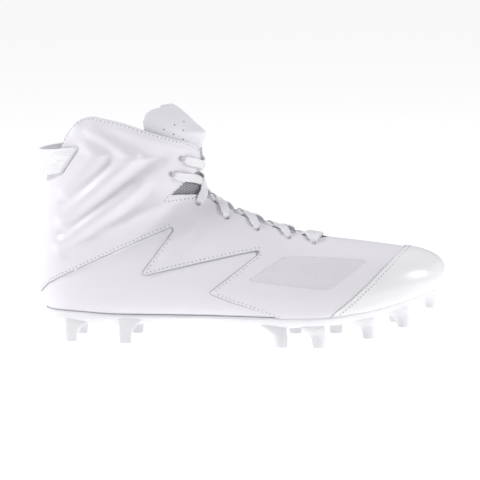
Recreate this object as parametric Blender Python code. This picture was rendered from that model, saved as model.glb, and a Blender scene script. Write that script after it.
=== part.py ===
"""White high-top american football cleat, right shoe.

A hollow upper stands in a moulded plate with studs. A toe cap, insole, tongue, laces
and heel pull loop are separate pieces. Every curved piece is worked out from one last
form: sections that run from the toe tip, along the foot, round the heel and up the shaft.

Metres. +X to the toe, -Y to the outer side, +Z up, the stud tips on z = 0.
"""
import math

import bmesh
import bpy
import numpy as np
from mathutils import Matrix, Vector

# Driving sizes of the last form
LENGTH = 0.2945
BALL_WIDTH = 0.097
ANKLE_WIDTH = 0.073
INSTEP_HEIGHT = 0.0995
SHAFT_RISE = 0.065
SOLE_HEIGHT = 0.0156
TOE_SPRING = 0.029

# Walls, gaps and small sizes
GAP = 0.0003
UPPER_WALL = 0.0024
RECESS_DEPTH = 0.0008
CAP_THICKNESS = 0.001
PLATE_WALL = 0.0012
PLATE_FLOOR = 0.0027
PLATE_RISE = 0.0075
LASTING_MARGIN = 0.011
INSOLE_THICKNESS = 0.003
INSOLE_MARGIN = 0.0075
TONGUE_THICKNESS = 0.0045
TONGUE_CLEARANCE = 0.0009
INSOLE_CLEARANCE = 0.0007
TONGUE_LEAN = 0.0165
TONGUE_SWELL = 0.0045
THROAT_WIDTH = 0.017
EYELET_RADIUS = 0.002
EYELET_SPREAD = 0.03
LACE_WIDTH = 0.0062
LACE_THICKNESS = 0.0016
LACE_CLEARANCE = 0.0011
LACE_OVERLAP = 0.00017
LOOP_THICKNESS = 0.0016
LOOP_SLACK = 0.0052
STUD_TIP_RADIUS = 0.0043
STUD_FLARE = 0.0054

# Mesh fineness of the last form
TURNS = 28
ROW_STATIONS = (0, 0.4, 1, 1.6, 2.3, 3, 4, 5, 6, 7, 8, 9, 10, 11, 12, 13, 14, 14.6, 15.2, 16, 17, 18,
                19, 20, 21, 22.5)

# Sections of the last form, toe to tongue top. front and back place the section's upper and
# lower end along LENGTH. The upper end's height is instep * INSTEP_HEIGHT + shaft * SHAFT_RISE.
# The lower end's is SOLE_HEIGHT + spring * TOE_SPRING + rise * the shaft's full height. offset
# is a share of BALL_WIDTH. The half width is ball and ankle shares of the two half widths.
# widest says how far up the section is widest, round_top and round_under how square it is, and
# sole how much of the plate's floor lies under it.
SECTION_COLUMNS = ("front", "instep", "shaft", "back", "spring", "rise", "offset", "ball", "ankle",
                   "widest", "round_top", "round_under", "sole")
SECTIONS = np.array((
    (1.0000, 0.467, 0.000, 1.0000, 1.000, 0.000, 0.082, 0.000, 0.000, 0.45, 2.00, 2.00, 0.0),
    (0.9956, 0.538, 0.000, 0.9956, 0.841, 0.000, 0.082, 0.268, 0.000, 0.42, 2.10, 2.10, 0.5),
    (0.9796, 0.598, 0.000, 0.9796, 0.734, 0.000, 0.080, 0.474, 0.000, 0.38, 2.20, 2.40, 0.8),
    (0.9491, 0.643, 0.000, 0.9491, 0.602, 0.000, 0.072, 0.639, 0.000, 0.34, 2.30, 2.80, 0.95),
    (0.9032, 0.675, 0.000, 0.9032, 0.438, 0.000, 0.057, 0.794, 0.000, 0.31, 2.30, 3.20, 1.0),
    (0.8421, 0.704, 0.000, 0.8421, 0.269, 0.000, 0.033, 0.918, 0.000, 0.29, 2.20, 3.60, 1.0),
    (0.7742, 0.732, 0.000, 0.7742, 0.138, 0.000, 0.010, 0.990, 0.000, 0.28, 2.10, 3.80, 1.0),
    (0.7063, 0.760, 0.000, 0.7063, 0.041, 0.000, -0.008, 1.000, 0.000, 0.27, 1.95, 3.80, 1.0),
    (0.6384, 0.804, 0.000, 0.6384, 0.000, 0.000, -0.023, 0.938, 0.000, 0.27, 1.80, 3.60, 1.0),
    (0.5705, 0.874, 0.000, 0.5603, -0.007, 0.000, -0.036, 0.600, 0.326, 0.27, 1.70, 3.30, 1.0),
    (0.5161, 0.940, 0.000, 0.4720, 0.007, 0.000, -0.041, 0.350, 0.548, 0.28, 1.65, 3.10, 1.0),
    (0.4720, 1.000, 0.000, 0.3667, 0.007, 0.000, -0.033, 0.120, 0.772, 0.29, 1.65, 2.90, 1.0),
    (0.4397, 1.000, 0.085, 0.2513, -0.034, 0.000, -0.016, 0.000, 0.904, 0.31, 1.70, 2.90, 1.0),
    (0.4228, 1.000, 0.162, 0.1358, -0.055, 0.000, -0.004, 0.000, 0.904, 0.33, 1.80, 2.90, 1.0),
    (0.4143, 1.000, 0.238, 0.0475, 0.000, 0.000, 0.000, 0.000, 0.890, 0.36, 1.90, 2.60, 0.85),
    (0.4102, 1.000, 0.315, 0.0153, 0.000, 0.038, 0.000, 0.000, 0.904, 0.38, 2.00, 2.40, 0.45),
    (0.4081, 1.000, 0.392, -0.0027, 0.000, 0.126, 0.000, 0.000, 0.932, 0.40, 2.05, 2.30, 0.1),
    (0.4075, 1.000, 0.469, 0.0014, 0.000, 0.264, 0.000, 0.000, 0.973, 0.42, 2.10, 2.25, 0.0),
    (0.4075, 1.000, 0.562, 0.0109, 0.000, 0.410, 0.000, 0.000, 1.000, 0.44, 2.10, 2.20, 0.0),
    (0.4081, 1.000, 0.669, 0.0183, 0.000, 0.556, 0.000, 0.000, 1.000, 0.46, 2.10, 2.20, 0.0),
    (0.4095, 1.000, 0.792, 0.0238, 0.000, 0.689, 0.000, 0.000, 0.992, 0.47, 2.10, 2.20, 0.0),
    (0.4088, 1.000, 0.931, 0.0306, 0.000, 0.817, 0.000, 0.000, 1.000, 0.48, 2.10, 2.20, 0.0),
    (0.3990, 1.000, 1.085, 0.0407, 0.000, 0.945, 0.000, 0.000, 1.027, 0.49, 2.10, 2.20, 0.0),
    (0.3803, 1.000, 1.238, 0.0543, 0.000, 1.066, 0.000, 0.000, 1.055, 0.50, 2.10, 2.20, 0.0),
))

# Side-view lines: along is a share of LENGTH, up a share of the shaft's full height.
COLLAR_LINE = ((-0.060, 0.790), (0.000, 0.806), (0.045, 0.830), (0.075, 0.863), (0.091, 0.922),
               (0.111, 0.960), (0.135, 0.993), (0.159, 1.000), (0.190, 0.989), (0.231, 0.973),
               (0.285, 0.943), (0.335, 0.913), (0.384, 0.879), (0.400, 0.855), (0.407, 0.830),
               (0.425, 0.800), (0.470, 0.790))
# The collar's inner side is lower than that line by a share of the ankle's width.
COLLAR_DROP_LINE = ((0.040, 0.00), (0.070, 0.03), (0.110, 0.11), (0.150, 0.15), (0.270, 0.15),
                    (0.320, 0.09), (0.370, 0.01), (0.400, 0.00))
ZIGZAG_LINE = ((-0.080, 0.140), (0.001, 0.208), (0.032, 0.261), (0.069, 0.296), (0.172, 0.382),
               (0.270, 0.460), (0.330, 0.504), (0.345, 0.517), (0.350, 0.511), (0.351, 0.498),
               (0.314, 0.407), (0.278, 0.322), (0.279, 0.313), (0.286, 0.310), (0.418, 0.367),
               (0.516, 0.407), (0.557, 0.421), (0.566, 0.419), (0.563, 0.405), (0.501, 0.317),
               (0.446, 0.241), (0.447, 0.234), (0.495, 0.203), (0.558, 0.171), (0.609, 0.137),
               (0.616, 0.131))
SEAM_LINE = ((0.7300, 0.132), (0.7645, 0.182), (0.7940, 0.226), (0.8306, 0.286), (0.8604, 0.340),
             (0.8873, 0.386), (0.9150, 0.425), (0.9450, 0.460))
# The plate's upper edge: height is SOLE_HEIGHT + spring * TOE_SPRING + wall * PLATE_RISE.
PLATE_EDGE_COLUMNS = ("along", "spring", "wall")
PLATE_EDGE = np.array((
    (-0.040, 0.00, 1.05), (0.100, 0.00, 0.90), (0.200, 0.00, 0.70), (0.330, 0.00, 0.72),
    (0.440, 0.00, 0.79), (0.607, 0.00, 0.89), (0.670, 0.00, 0.99), (0.744, 0.09, 0.81),
    (0.815, 0.20, 0.77), (0.883, 0.37, 0.65), (0.944, 0.58, 0.52), (0.985, 0.74, 0.39),
    (1.040, 0.86, 0.34)))
# The throat's half width as a share of THROAT_WIDTH at rows of the section table, with the
# notch between the instep and the ankle flap.
THROAT_LINE = ((6.85, 0.02), (6.92, 0.20), (7.05, 0.36), (7.25, 0.46), (8.0, 0.50), (9.3, 0.47),
               (10.7, 0.42), (12.0, 0.43), (12.9, 0.46), (13.3, 0.66), (14.2, 0.95), (15.0, 1.20),
               (15.38, 1.32), (15.48, 1.33), (15.56, 1.22), (15.68, 0.98), (15.9, 0.60),
               (16.1, 0.40), (16.6, 0.31), (17.5, 0.28), (19.0, 0.28), (22.5, 0.28))
# Eyelets: section row and the distance from the middle as a share of EYELET_SPREAD.
EYELETS = ((18.30, 0.72), (17.40, 0.84), (12.70, 0.45), (10.70, 0.42), (9.30, 0.48), (8.15, 0.50),
           (7.22, 0.57))
# Tongue: section row, and how far round it reaches as a share of a half turn.
TONGUE_LINE = ((6.3, 0.10), (6.6, 0.17), (7.5, 0.20), (9.0, 0.21), (11.0, 0.22), (13.0, 0.24),
               (14.5, 0.27), (15.5, 0.29), (16.3, 0.31), (17.2, 0.33), (18.2, 0.35), (19.2, 0.365),
               (20.0, 0.37), (20.7, 0.365), (21.2, 0.34), (21.6, 0.29), (21.9, 0.22), (22.05, 0.14),
               (22.12, 0.05))
TONGUE_CREST = 20.5
# Pull loop: section rows of its lower and upper edge, and where each ends round the heel.
LOOP_LOW_ROW, LOOP_HIGH_ROW = 19.57, 20.46
LOOP_LOW_END, LOOP_HIGH_END = 0.728, 0.639
# Studs: along LENGTH, across BALL_WIDTH, lift as a share of TOE_SPRING, lean is the way the
# flare goes along the shoe and size a share of STUD_TIP_RADIUS.
STUDS = np.array((
    (0.087, -0.196, 0.00, 0.75, 1.00), (0.226, -0.258, 0.00, 0.75, 1.00),
    (0.087, 0.175, 0.00, 0.75, 1.00), (0.226, 0.227, 0.00, 0.75, 1.00),
    (0.615, -0.345, 0.00, -1.0, 1.05), (0.708, -0.360, 0.00, -1.0, 1.05),
    (0.622, 0.295, 0.00, -1.0, 1.05), (0.722, 0.325, 0.00, -1.0, 1.05),
    (0.826, -0.290, 0.22, -1.0, 1.00), (0.906, -0.180, 0.45, -1.0, 0.95),
    (0.872, 0.240, 0.35, -1.0, 1.00), (0.966, 0.030, 0.83, -0.6, 0.85)))

# A stud's rings from tip to plate: the height as a share of the stud's, the radius as a share
# of the tip's.
STUD_RINGS = ((0.0, 0.88), (0.05, 1.0), (0.35, 1.07), (0.65, 1.28), (0.97, 2.0), (1.35, 2.2))
STUD_CORNERS = 10
FLARE_START = 0.25
STUD_DEPTH_SHARE = 0.92
# The tongue swells above the flaps from this row, over this many rows, and leans back from this
# share of the shaft's height.
SWELL_ROW, SWELL_ROWS = 18.9, 1.2
LEAN_START, LEAN_SPAN = 0.90, 0.13

SHAFT_HEIGHT = INSTEP_HEIGHT + SHAFT_RISE
CUTTER_REACH = 0.003
THROAT_CUT_DEPTH = 0.0066
HALF_DEPTH = 0.09
CUTTER_ROOF = 1.4 * SHAFT_HEIGHT
POLE = 1e-6


def column(table, columns, name):
    """One named column of a table."""
    return table[:, columns.index(name)]


def smooth(rows, values):
    """Values of a table's column between its rows, on a smooth curve through them."""
    values = np.asarray(values, float)
    slopes = np.gradient(values)
    first = np.clip(np.floor(rows).astype(int), 0, len(values) - 2)
    part = rows - first
    ease = part * part * (3 - 2 * part)
    rising = part * (1 - part) ** 2
    falling = part * part * (1 - part)
    return (values[first] + (values[first + 1] - values[first]) * ease
            + slopes[first] * rising - slopes[first + 1] * falling)


def section(name, rows):
    """A column of the section table at any rows."""
    return smooth(rows, column(SECTIONS, SECTION_COLUMNS, name))


def last_form(rows, turns, drop=0.0):
    """Points of the last form. A turn of 0 is the top or front, 1 the sole or heel back, and
    the sign is the side. drop lowers the sole by that much."""
    rows, turns = np.broadcast_arrays(np.asarray(rows, float), np.asarray(turns, float))
    upper_x = LENGTH * section("front", rows)
    upper_z = INSTEP_HEIGHT * section("instep", rows) + SHAFT_RISE * section("shaft", rows)
    under_x = LENGTH * section("back", rows)
    under_z = (SOLE_HEIGHT + TOE_SPRING * section("spring", rows)
               + SHAFT_HEIGHT * section("rise", rows) - drop * section("sole", rows))
    half = (BALL_WIDTH * section("ball", rows) + ANKLE_WIDTH * section("ankle", rows)) / 2
    widest = section("widest", rows)
    cosine, sine = np.cos(turns * math.pi), np.sin(turns * math.pi)
    power = 2 / np.where(cosine >= 0, section("round_top", rows), section("round_under", rows))
    bulge = np.abs(cosine) ** power
    level = np.where(cosine >= 0, widest + (1 - widest) * bulge, widest - widest * bulge)
    across = BALL_WIDTH * section("offset", rows) - half * np.sign(sine) * np.abs(sine) ** power
    return np.stack((under_x + (upper_x - under_x) * level, across,
                     under_z + (upper_z - under_z) * level), -1)


def grown(rows, turns, grow, drop=0.0):
    """Points of the last form, moved out along its normals by grow."""
    step = 1e-3
    rows, turns = np.broadcast_arrays(np.asarray(rows, float), np.asarray(turns, float))
    along = last_form(rows + step, turns, drop) - last_form(rows - step, turns, drop)
    around = last_form(rows, turns + step, drop) - last_form(rows, turns - step, drop)
    normal = np.cross(along, around)
    normal[rows < POLE] = (1, 0, 0)
    normal /= np.linalg.norm(normal, axis=-1, keepdims=True)
    grow = np.broadcast_to(np.asarray(grow, float), rows.shape)
    return last_form(rows, turns, drop) + normal * grow[..., None]


def turn_at(row, distance):
    """The turn on a section's upper half that lies a distance from its middle."""
    row = np.asarray(row, float)
    half = (BALL_WIDTH * section("ball", row) + ANKLE_WIDTH * section("ankle", row)) / 2
    share = np.clip(distance / half, 0, 1)
    return np.arcsin(share ** (section("round_top", row) / 2)) / math.pi


def make_object(name, vertices, faces, collection):
    """An object from points and faces, with its faces turned outwards."""
    mesh = bpy.data.meshes.new(name)
    mesh.from_pydata([tuple(map(float, vertex)) for vertex in vertices], [], faces)
    shape = bmesh.new()
    shape.from_mesh(mesh)
    bmesh.ops.remove_doubles(shape, verts=shape.verts, dist=1e-6)
    return close_mesh(shape, mesh, collection)


def close_mesh(shape, mesh, collection):
    """An object from a closed shape, with its faces turned outwards and soft edges smooth."""
    bmesh.ops.recalc_face_normals(shape, faces=shape.faces)
    if shape.calc_volume(signed=True) < 0:
        bmesh.ops.reverse_faces(shape, faces=shape.faces)
    shape.to_mesh(mesh)
    shape.free()
    mesh.shade_smooth()
    mesh.set_sharp_from_angle(angle=math.radians(35))
    result = bpy.data.objects.new(mesh.name, mesh)
    collection.objects.link(result)
    return result


def grid_faces(height, width, start, closed):
    """Quads over a grid of points that begins at start."""
    wrap = width if closed else width - 1
    return [(start + i * width + j, start + i * width + (j + 1) % width,
             start + (i + 1) * width + (j + 1) % width, start + (i + 1) * width + j)
            for i in range(height - 1) for j in range(wrap)]


def slab(name, inner, outer, collection, closed=False, pole=False):
    """A closed solid between two grids of points that match, such as a wall or a pad."""
    height, width = inner.shape[:2]
    second = height * width
    faces = grid_faces(height, width, 0, closed) + grid_faces(height, width, second, closed)
    ends = (height - 1,) if pole else (0, height - 1)
    for i in ends:
        for j in range(width if closed else width - 1):
            a, b = i * width + j, i * width + (j + 1) % width
            faces.append((a, b, second + b, second + a))
    if not closed:
        for j in (0, width - 1):
            for i in range(height - 1):
                a, b = i * width + j, (i + 1) * width + j
                faces.append((a, b, second + b, second + a))
    points = np.concatenate((inner.reshape(-1, 3), outer.reshape(-1, 3)))
    return make_object(name, points, faces, collection)


def whole_grid(last_row, first_row=0):
    """Rows and turns of the whole last form, between two rows."""
    rows = np.array([row for row in ROW_STATIONS if first_row <= row <= last_row])[:, None]
    turns = (np.arange(TURNS) * 2 / TURNS)[None, :]
    return rows, np.where(turns > 1, turns - 2, turns)


def form_wall(name, inner_grow, outer_grow, last_row, collection, first_row=0):
    """A shell around the last form between two distances from it."""
    rows, turns = whole_grid(last_row, first_row)
    return slab(name, grown(rows, turns, inner_grow), grown(rows, turns, outer_grow), collection,
                closed=True, pole=first_row == 0)


def form_solid(name, grow, drop, last_row, collection):
    """The last form as one filled block, for cutting with."""
    rows, turns = whole_grid(last_row)
    points = grown(rows, turns, grow, drop)
    height, width = points.shape[:2]
    faces = grid_faces(height, width, 0, True)
    faces.append(tuple((height - 1) * width + j for j in range(width)))
    return make_object(name, points.reshape(-1, 3), faces, collection)


def side_points(line):
    """A side-view table as points in metres."""
    return [(along * LENGTH, up * SHAFT_HEIGHT) for along, up in line]


def smooth_line(line, steps):
    """A smooth curve through a side-view table."""
    table = np.array(side_points(line))
    rows = np.linspace(0, len(table) - 1, (len(table) - 1) * steps + 1)
    return [(x, z) for x, z in zip(smooth(rows, table[:, 0]), smooth(rows, table[:, 1]))]


def plate_edge(lift, steps=2):
    """The plate's upper edge seen from the side, moved up by lift."""
    stations = np.linspace(0, len(PLATE_EDGE) - 1, (len(PLATE_EDGE) - 1) * steps + 1)
    along = LENGTH * smooth(stations, column(PLATE_EDGE, PLATE_EDGE_COLUMNS, "along"))
    spring = TOE_SPRING * smooth(stations, column(PLATE_EDGE, PLATE_EDGE_COLUMNS, "spring"))
    wall = PLATE_RISE * smooth(stations, column(PLATE_EDGE, PLATE_EDGE_COLUMNS, "wall"))
    return list(zip(along, SOLE_HEIGHT + spring + wall + lift))


def edge_height(edge, x):
    """Height of an edge line at a place along the shoe."""
    return float(np.interp(x, [point[0] for point in edge], [point[1] for point in edge]))


def prism(name, outline, collection):
    """A side-view outline drawn through the shoe's whole width."""
    shape = bmesh.new()
    face = shape.faces.new([shape.verts.new((x, -HALF_DEPTH, z)) for x, z in outline])
    copy = bmesh.ops.extrude_face_region(shape, geom=[face])["geom"]
    moved = [item for item in copy if isinstance(item, bmesh.types.BMVert)]
    bmesh.ops.translate(shape, verts=moved, vec=(0, 2 * HALF_DEPTH, 0))
    return close_mesh(shape, bpy.data.meshes.new(name), collection)


def boolean(target, operation, other):
    """Cut, join or overlap a solid with another."""
    modifier = target.modifiers.new(operation.lower() + "_" + other.name, "BOOLEAN")
    modifier.operation = operation
    modifier.solver = "EXACT"
    modifier.object = other


def finish(target, color, roughness):
    """A plain coloured plastic or cloth finish."""
    material = bpy.data.materials.new(target.name)
    material.use_nodes = True
    shader = material.node_tree.nodes["Principled BSDF"]
    shader.inputs["Base Color"].default_value = (*color, 1)
    shader.inputs["Roughness"].default_value = roughness
    shader.inputs["Metallic"].default_value = 0
    target.data.materials.append(material)


def new_collection(name):
    """A collection under the scene."""
    collection = bpy.data.collections.new(name)
    bpy.context.scene.collection.children.link(collection)
    return collection


def throat_cutter(cutters):
    """The opening down the instep and the ankle, with its notch on each side."""
    rows = np.array([row for row, _ in THROAT_LINE])[:, None]
    half = np.array([share * THROAT_WIDTH for _, share in THROAT_LINE])[:, None]
    turns = turn_at(rows, half) * np.linspace(-1, 1, 7)[None, :]
    middle = last_form(rows, turns)
    upward = last_form(rows, 0.0) - last_form(rows, 1.0)
    upward /= np.linalg.norm(upward, axis=-1, keepdims=True)
    return slab("throat_cutter", middle - upward * THROAT_CUT_DEPTH,
                middle + upward * CUTTER_REACH, cutters)


def under_turn(rows, margin):
    """The turn at which a section's under side is a margin short of its full half width."""
    half = (BALL_WIDTH * section("ball", rows) + ANKLE_WIDTH * section("ankle", rows)) / 2
    share = np.clip((half - margin) / half, 0.05, 1)
    return 1 - np.arcsin(share ** (section("round_under", rows) / 2)) / math.pi


def under_slab(name, rows, margin, inner_grow, outer_grow, collection):
    """A slab along the under side of the last form, a margin short of its sides."""
    rows = np.asarray(rows, float)[:, None]
    start = under_turn(rows, margin)
    turns = start + (2 - 2 * start) * np.linspace(0, 1, 9)[None, :]
    turns = np.where(turns > 1, turns - 2, turns)
    return slab(name, grown(rows, turns, inner_grow), grown(rows, turns, outer_grow), collection)


def eyelet_place(index, side, grow):
    """Where an eyelet lies, moved out from the last form."""
    row, share = EYELETS[index]
    return grown(row, side * turn_at(row, share * EYELET_SPREAD), grow)


def eyelet_cutter(cutters):
    """Round holes for the laces, down both sides of the throat."""
    shape = bmesh.new()
    for index in range(len(EYELETS)):
        for side in (-1, 1):
            inner = eyelet_place(index, side, -UPPER_WALL - CUTTER_REACH)
            outer = eyelet_place(index, side, CUTTER_REACH)
            placed = place_between(inner, outer)
            bmesh.ops.create_cone(shape, cap_ends=True, segments=10, radius1=EYELET_RADIUS,
                                  radius2=EYELET_RADIUS, depth=float(np.linalg.norm(outer - inner)),
                                  matrix=placed)
    return close_mesh(shape, bpy.data.meshes.new("eyelet_cutter"), cutters)


def place_between(low, high):
    """The placing of an upright solid so that it runs from one point to another."""
    direction = Vector(high - low)
    turned = direction.to_track_quat("Z", "Y").to_matrix().to_4x4()
    return Matrix.Translation(Vector((low + high) / 2)) @ turned


def collar_cutter(cutters):
    """Everything over the collar, which slants down to the shoe's inner side."""
    collar = smooth_line(COLLAR_LINE, 2)
    outline = collar + [(collar[-1][0], CUTTER_ROOF), (collar[0][0], CUTTER_ROOF)]
    cutter = prism("collar_cutter", outline, cutters)
    along, shares = np.array(COLLAR_DROP_LINE).T
    for vert in cutter.data.vertices:
        if vert.co.z < SHAFT_HEIGHT * 1.1:
            drop = np.interp(vert.co.x, along * LENGTH, shares) * ANKLE_WIDTH
            vert.co.z -= drop * (vert.co.y / ANKLE_WIDTH + 0.5)
    shape = bmesh.new()
    shape.from_mesh(cutter.data)
    bmesh.ops.triangulate(shape, faces=shape.faces)
    shape.to_mesh(cutter.data)
    shape.free()
    return cutter


def build_upper(parts, cutters):
    """The lasted upper: one hollow wall, open at the collar, throat, eyelets and underneath."""
    upper = form_wall("upper", -UPPER_WALL, 0, ROW_STATIONS[-1], parts)
    recess = form_wall("recess_cutter", -RECESS_DEPTH, CUTTER_REACH, 18, cutters, first_row=7)
    zigzag = side_points(ZIGZAG_LINE)
    lower = [point for point in plate_edge(-4 * GAP) if point[0] < zigzag[-1][0]]
    boolean(recess, "INTERSECT", prism("zigzag_cutter", zigzag + lower[::-1], cutters))
    boolean(upper, "DIFFERENCE", recess)
    boolean(upper, "DIFFERENCE", collar_cutter(cutters))
    boolean(upper, "DIFFERENCE", throat_cutter(cutters))
    under = under_slab("under_cutter", (1.9, 2.5, 3, 4, 5, 6, 7, 8, 9, 10, 11, 12, 13, 13.8, 14.3),
                       LASTING_MARGIN, -UPPER_WALL - CUTTER_REACH, CUTTER_REACH, cutters)
    boolean(upper, "DIFFERENCE", under)
    boolean(upper, "DIFFERENCE", eyelet_cutter(cutters))
    finish(upper, (0.87, 0.86, 0.89), 0.42)
    return upper


def build_toe_cap(parts, cutters):
    """The skin over the toe, from its slanted seam to the plate's edge."""
    cap = form_wall("toe_cap", GAP, GAP + CAP_THICKNESS, 8, parts)
    edge = plate_edge(GAP)
    seam = [(x, z) for x, z in side_points(SEAM_LINE) if z > edge_height(edge, x)]
    front = LENGTH * 1.03
    foot = seam[0][0] - (seam[0][1] - edge_height(edge, seam[0][0]))
    lower = [(foot, edge_height(edge, foot))] + [point for point in edge if foot < point[0] < front]
    outline = seam + [(seam[-1][0], SHAFT_HEIGHT), (lower[-1][0], SHAFT_HEIGHT)] + lower[::-1]
    boolean(cap, "INTERSECT", prism("cap_cutter", outline, cutters))
    finish(cap, (0.90, 0.89, 0.91), 0.3)
    return cap


def stud(shape, along, across, lift, lean, size):
    """One stud: a flat round tip that flares to one side where it meets the plate."""
    floor = stud_floor(along * LENGTH)
    low = lift * TOE_SPRING
    rings = []
    for level, wide in STUD_RINGS:
        radius = STUD_TIP_RADIUS * size * wide
        flared = max(0.0, min(level, 1.0) - FLARE_START) / (1 - FLARE_START)
        middle = along * LENGTH + STUD_FLARE * lean * flared ** 2
        ring = []
        for k in range(STUD_CORNERS):
            angle = 2 * math.pi * k / STUD_CORNERS
            ring.append(shape.verts.new((
                middle + radius * math.cos(angle),
                across * BALL_WIDTH + radius * STUD_DEPTH_SHARE * math.sin(angle),
                low + (floor - low) * level)))
        rings.append(ring)
    tube_faces(shape, rings)


def tube_faces(shape, rings):
    """Close a row of rings into one solid, with flat ends."""
    shape.faces.new(rings[0][::-1])
    shape.faces.new(rings[-1])
    for lower, higher in zip(rings, rings[1:]):
        for k in range(len(lower)):
            after = (k + 1) % len(lower)
            shape.faces.new((lower[k], lower[after], higher[after], higher[k]))


def stud_floor(x):
    """Height of the plate's under side at a place along the shoe."""
    rows = np.linspace(0, 15, 301)
    points = last_form(rows, 1.0, PLATE_FLOOR + GAP)
    return float(np.interp(x, points[::-1, 0], points[::-1, 2]))


def build_outsole(parts, cutters):
    """The moulded plate: a tray under the upper, with its studs."""
    drop = PLATE_FLOOR - PLATE_WALL
    plate = form_solid("outsole", GAP + PLATE_WALL, drop, 17.5, parts)
    shape = bmesh.new()
    for values in STUDS:
        stud(shape, *values)
    boolean(plate, "UNION", close_mesh(shape, bpy.data.meshes.new("stud_set"), cutters))
    boolean(plate, "DIFFERENCE", form_solid("plate_hollow", GAP, 0, 18.5, cutters))
    edge = plate_edge(0)
    deep = -SOLE_HEIGHT
    outline = edge + [(edge[-1][0], deep), (edge[0][0], deep)]
    boolean(plate, "INTERSECT", prism("edge_cutter", outline, cutters))
    finish(plate, (0.79, 0.79, 0.80), 0.35)
    return plate


def build_insole(parts):
    """The foot bed, on the upper's turned-in margin."""
    top = -UPPER_WALL - INSOLE_CLEARANCE
    insole = under_slab("insole", (1.6, 2.3, 3, 4, 5, 6, 7, 8, 9, 10, 11, 12, 13, 14, 14.6),
                        INSOLE_MARGIN, top - INSOLE_THICKNESS, top, parts)
    finish(insole, (0.80, 0.79, 0.83), 0.8)
    return insole


def tongue_points(rows, turns, grow):
    """Points of the tongue: inside the upper, swollen at the ankle's front and leaning back."""
    above_flaps = np.clip((rows - SWELL_ROW) / SWELL_ROWS, 0, 1)
    swell = TONGUE_SWELL * above_flaps * np.exp(-(turns / (0.04 + 0.07 * above_flaps)) ** 2)
    points = grown(rows, turns, grow + swell)
    above = np.clip((points[..., 2] / SHAFT_HEIGHT - LEAN_START) / LEAN_SPAN, 0, 1.2)
    points[..., 0] -= TONGUE_LEAN * above ** 1.4
    return points


def build_tongue(parts):
    """The padded tongue, from under the vamp to above the collar."""
    table_rows, table_reach = zip(*TONGUE_LINE)
    within = [row for row in ROW_STATIONS if table_rows[0] < row < TONGUE_CREST]
    rows = np.array([table_rows[0]] + within + [row for row in table_rows if row >= TONGUE_CREST])
    reach = np.interp(rows, table_rows, table_reach)[:, None]
    rows = rows[:, None]
    across = np.linspace(-1, 1, 11)[None, :]
    turns = reach * across
    top = -UPPER_WALL - TONGUE_CLEARANCE
    edge = 1 - 0.55 * np.abs(across) ** 6
    thick = TONGUE_THICKNESS * np.clip(0.45 + (rows - table_rows[0]) / 14, 0.45, 1) * edge
    tongue = slab("tongue", tongue_points(rows, turns, top - thick), tongue_points(rows, turns, top),
                  parts)
    finish(tongue, (0.88, 0.87, 0.90), 0.6)
    return tongue


def lace_run(shape, first, second, layer):
    """One flat lace run between two eyelets, over the throat. A higher layer lies over."""
    lift = LACE_CLEARANCE + LACE_THICKNESS / 2 + layer * LACE_OVERLAP
    steps, corners = 6, 4
    (row_a, share_a), (row_b, share_b) = EYELETS[first[0]], EYELETS[second[0]]
    turn_a = first[1] * float(turn_at(row_a, share_a * EYELET_SPREAD))
    turn_b = second[1] * float(turn_at(row_b, share_b * EYELET_SPREAD))
    past_eyelet = 0.03 * (1 + layer)
    part = np.linspace(-past_eyelet, 1 + past_eyelet, steps + 1)
    rows = row_a + (row_b - row_a) * part
    turns = turn_a + (turn_b - turn_a) * part
    path = grown(rows, turns, lift)
    normals = grown(rows, turns, lift + 0.001) - path
    normals /= np.linalg.norm(normals, axis=-1, keepdims=True)
    tangents = np.gradient(path, axis=0)
    sides = np.cross(tangents, normals)
    sides /= np.linalg.norm(sides, axis=-1, keepdims=True)
    rings = []
    for i in range(steps + 1):
        width = LACE_WIDTH * (0.75 if i in (0, steps) else 1) * (1 - 0.04 * layer)
        ring = []
        for k in range(corners):
            angle = 2 * math.pi * (k + 0.5) / corners
            point = (path[i] + sides[i] * math.cos(angle) * width / math.sqrt(2)
                     + normals[i] * math.sin(angle) * LACE_THICKNESS / math.sqrt(2))
            ring.append(shape.verts.new(tuple(map(float, point))))
        rings.append(ring)
    tube_faces(shape, rings)


def lace_set(name, pairs, layer, collection):
    """Several lace runs that don't touch, as one mesh."""
    shape = bmesh.new()
    for first, second in pairs:
        lace_run(shape, first, second, layer)
    return close_mesh(shape, bpy.data.meshes.new(name), collection)


def build_laces(parts, cutters):
    """The criss-cross lacing and its front bar, joined where the runs meet."""
    last = len(EYELETS) - 1
    laces = lace_set("laces", [((i, 1), (i + 1, -1)) for i in range(last)], 0, parts)
    returns = [((i, -1), (i + 1, 1)) for i in range(last)]
    boolean(laces, "UNION", lace_set("lace_returns", returns, 1, cutters))
    boolean(laces, "UNION", lace_set("lace_bar", [((last, 1), (last, -1))], 2, cutters))
    finish(laces, (0.91, 0.90, 0.93), 0.7)
    return laces


def build_pull_loop(parts):
    """The strap round the heel's back, slack behind it for a finger."""
    share = np.linspace(0, 1, 4)[:, None]
    rows = LOOP_LOW_ROW + (LOOP_HIGH_ROW - LOOP_LOW_ROW) * share
    start = LOOP_LOW_END + (LOOP_HIGH_END - LOOP_LOW_END) * share
    part = np.linspace(0, 1, 25)[None, :]
    turns = start + (2 - 2 * start) * part
    turns = np.where(turns > 1, turns - 2, turns)
    far = np.clip(np.minimum(part, 1 - part) / 0.33, 0, 1)
    lift = GAP + LOOP_SLACK * far * far * (3 - 2 * far) * np.ones_like(rows)
    loop = slab("pull_loop", grown(rows, turns, lift), grown(rows, turns, lift + LOOP_THICKNESS), parts)
    finish(loop, (0.90, 0.89, 0.91), 0.5)
    return loop


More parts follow.
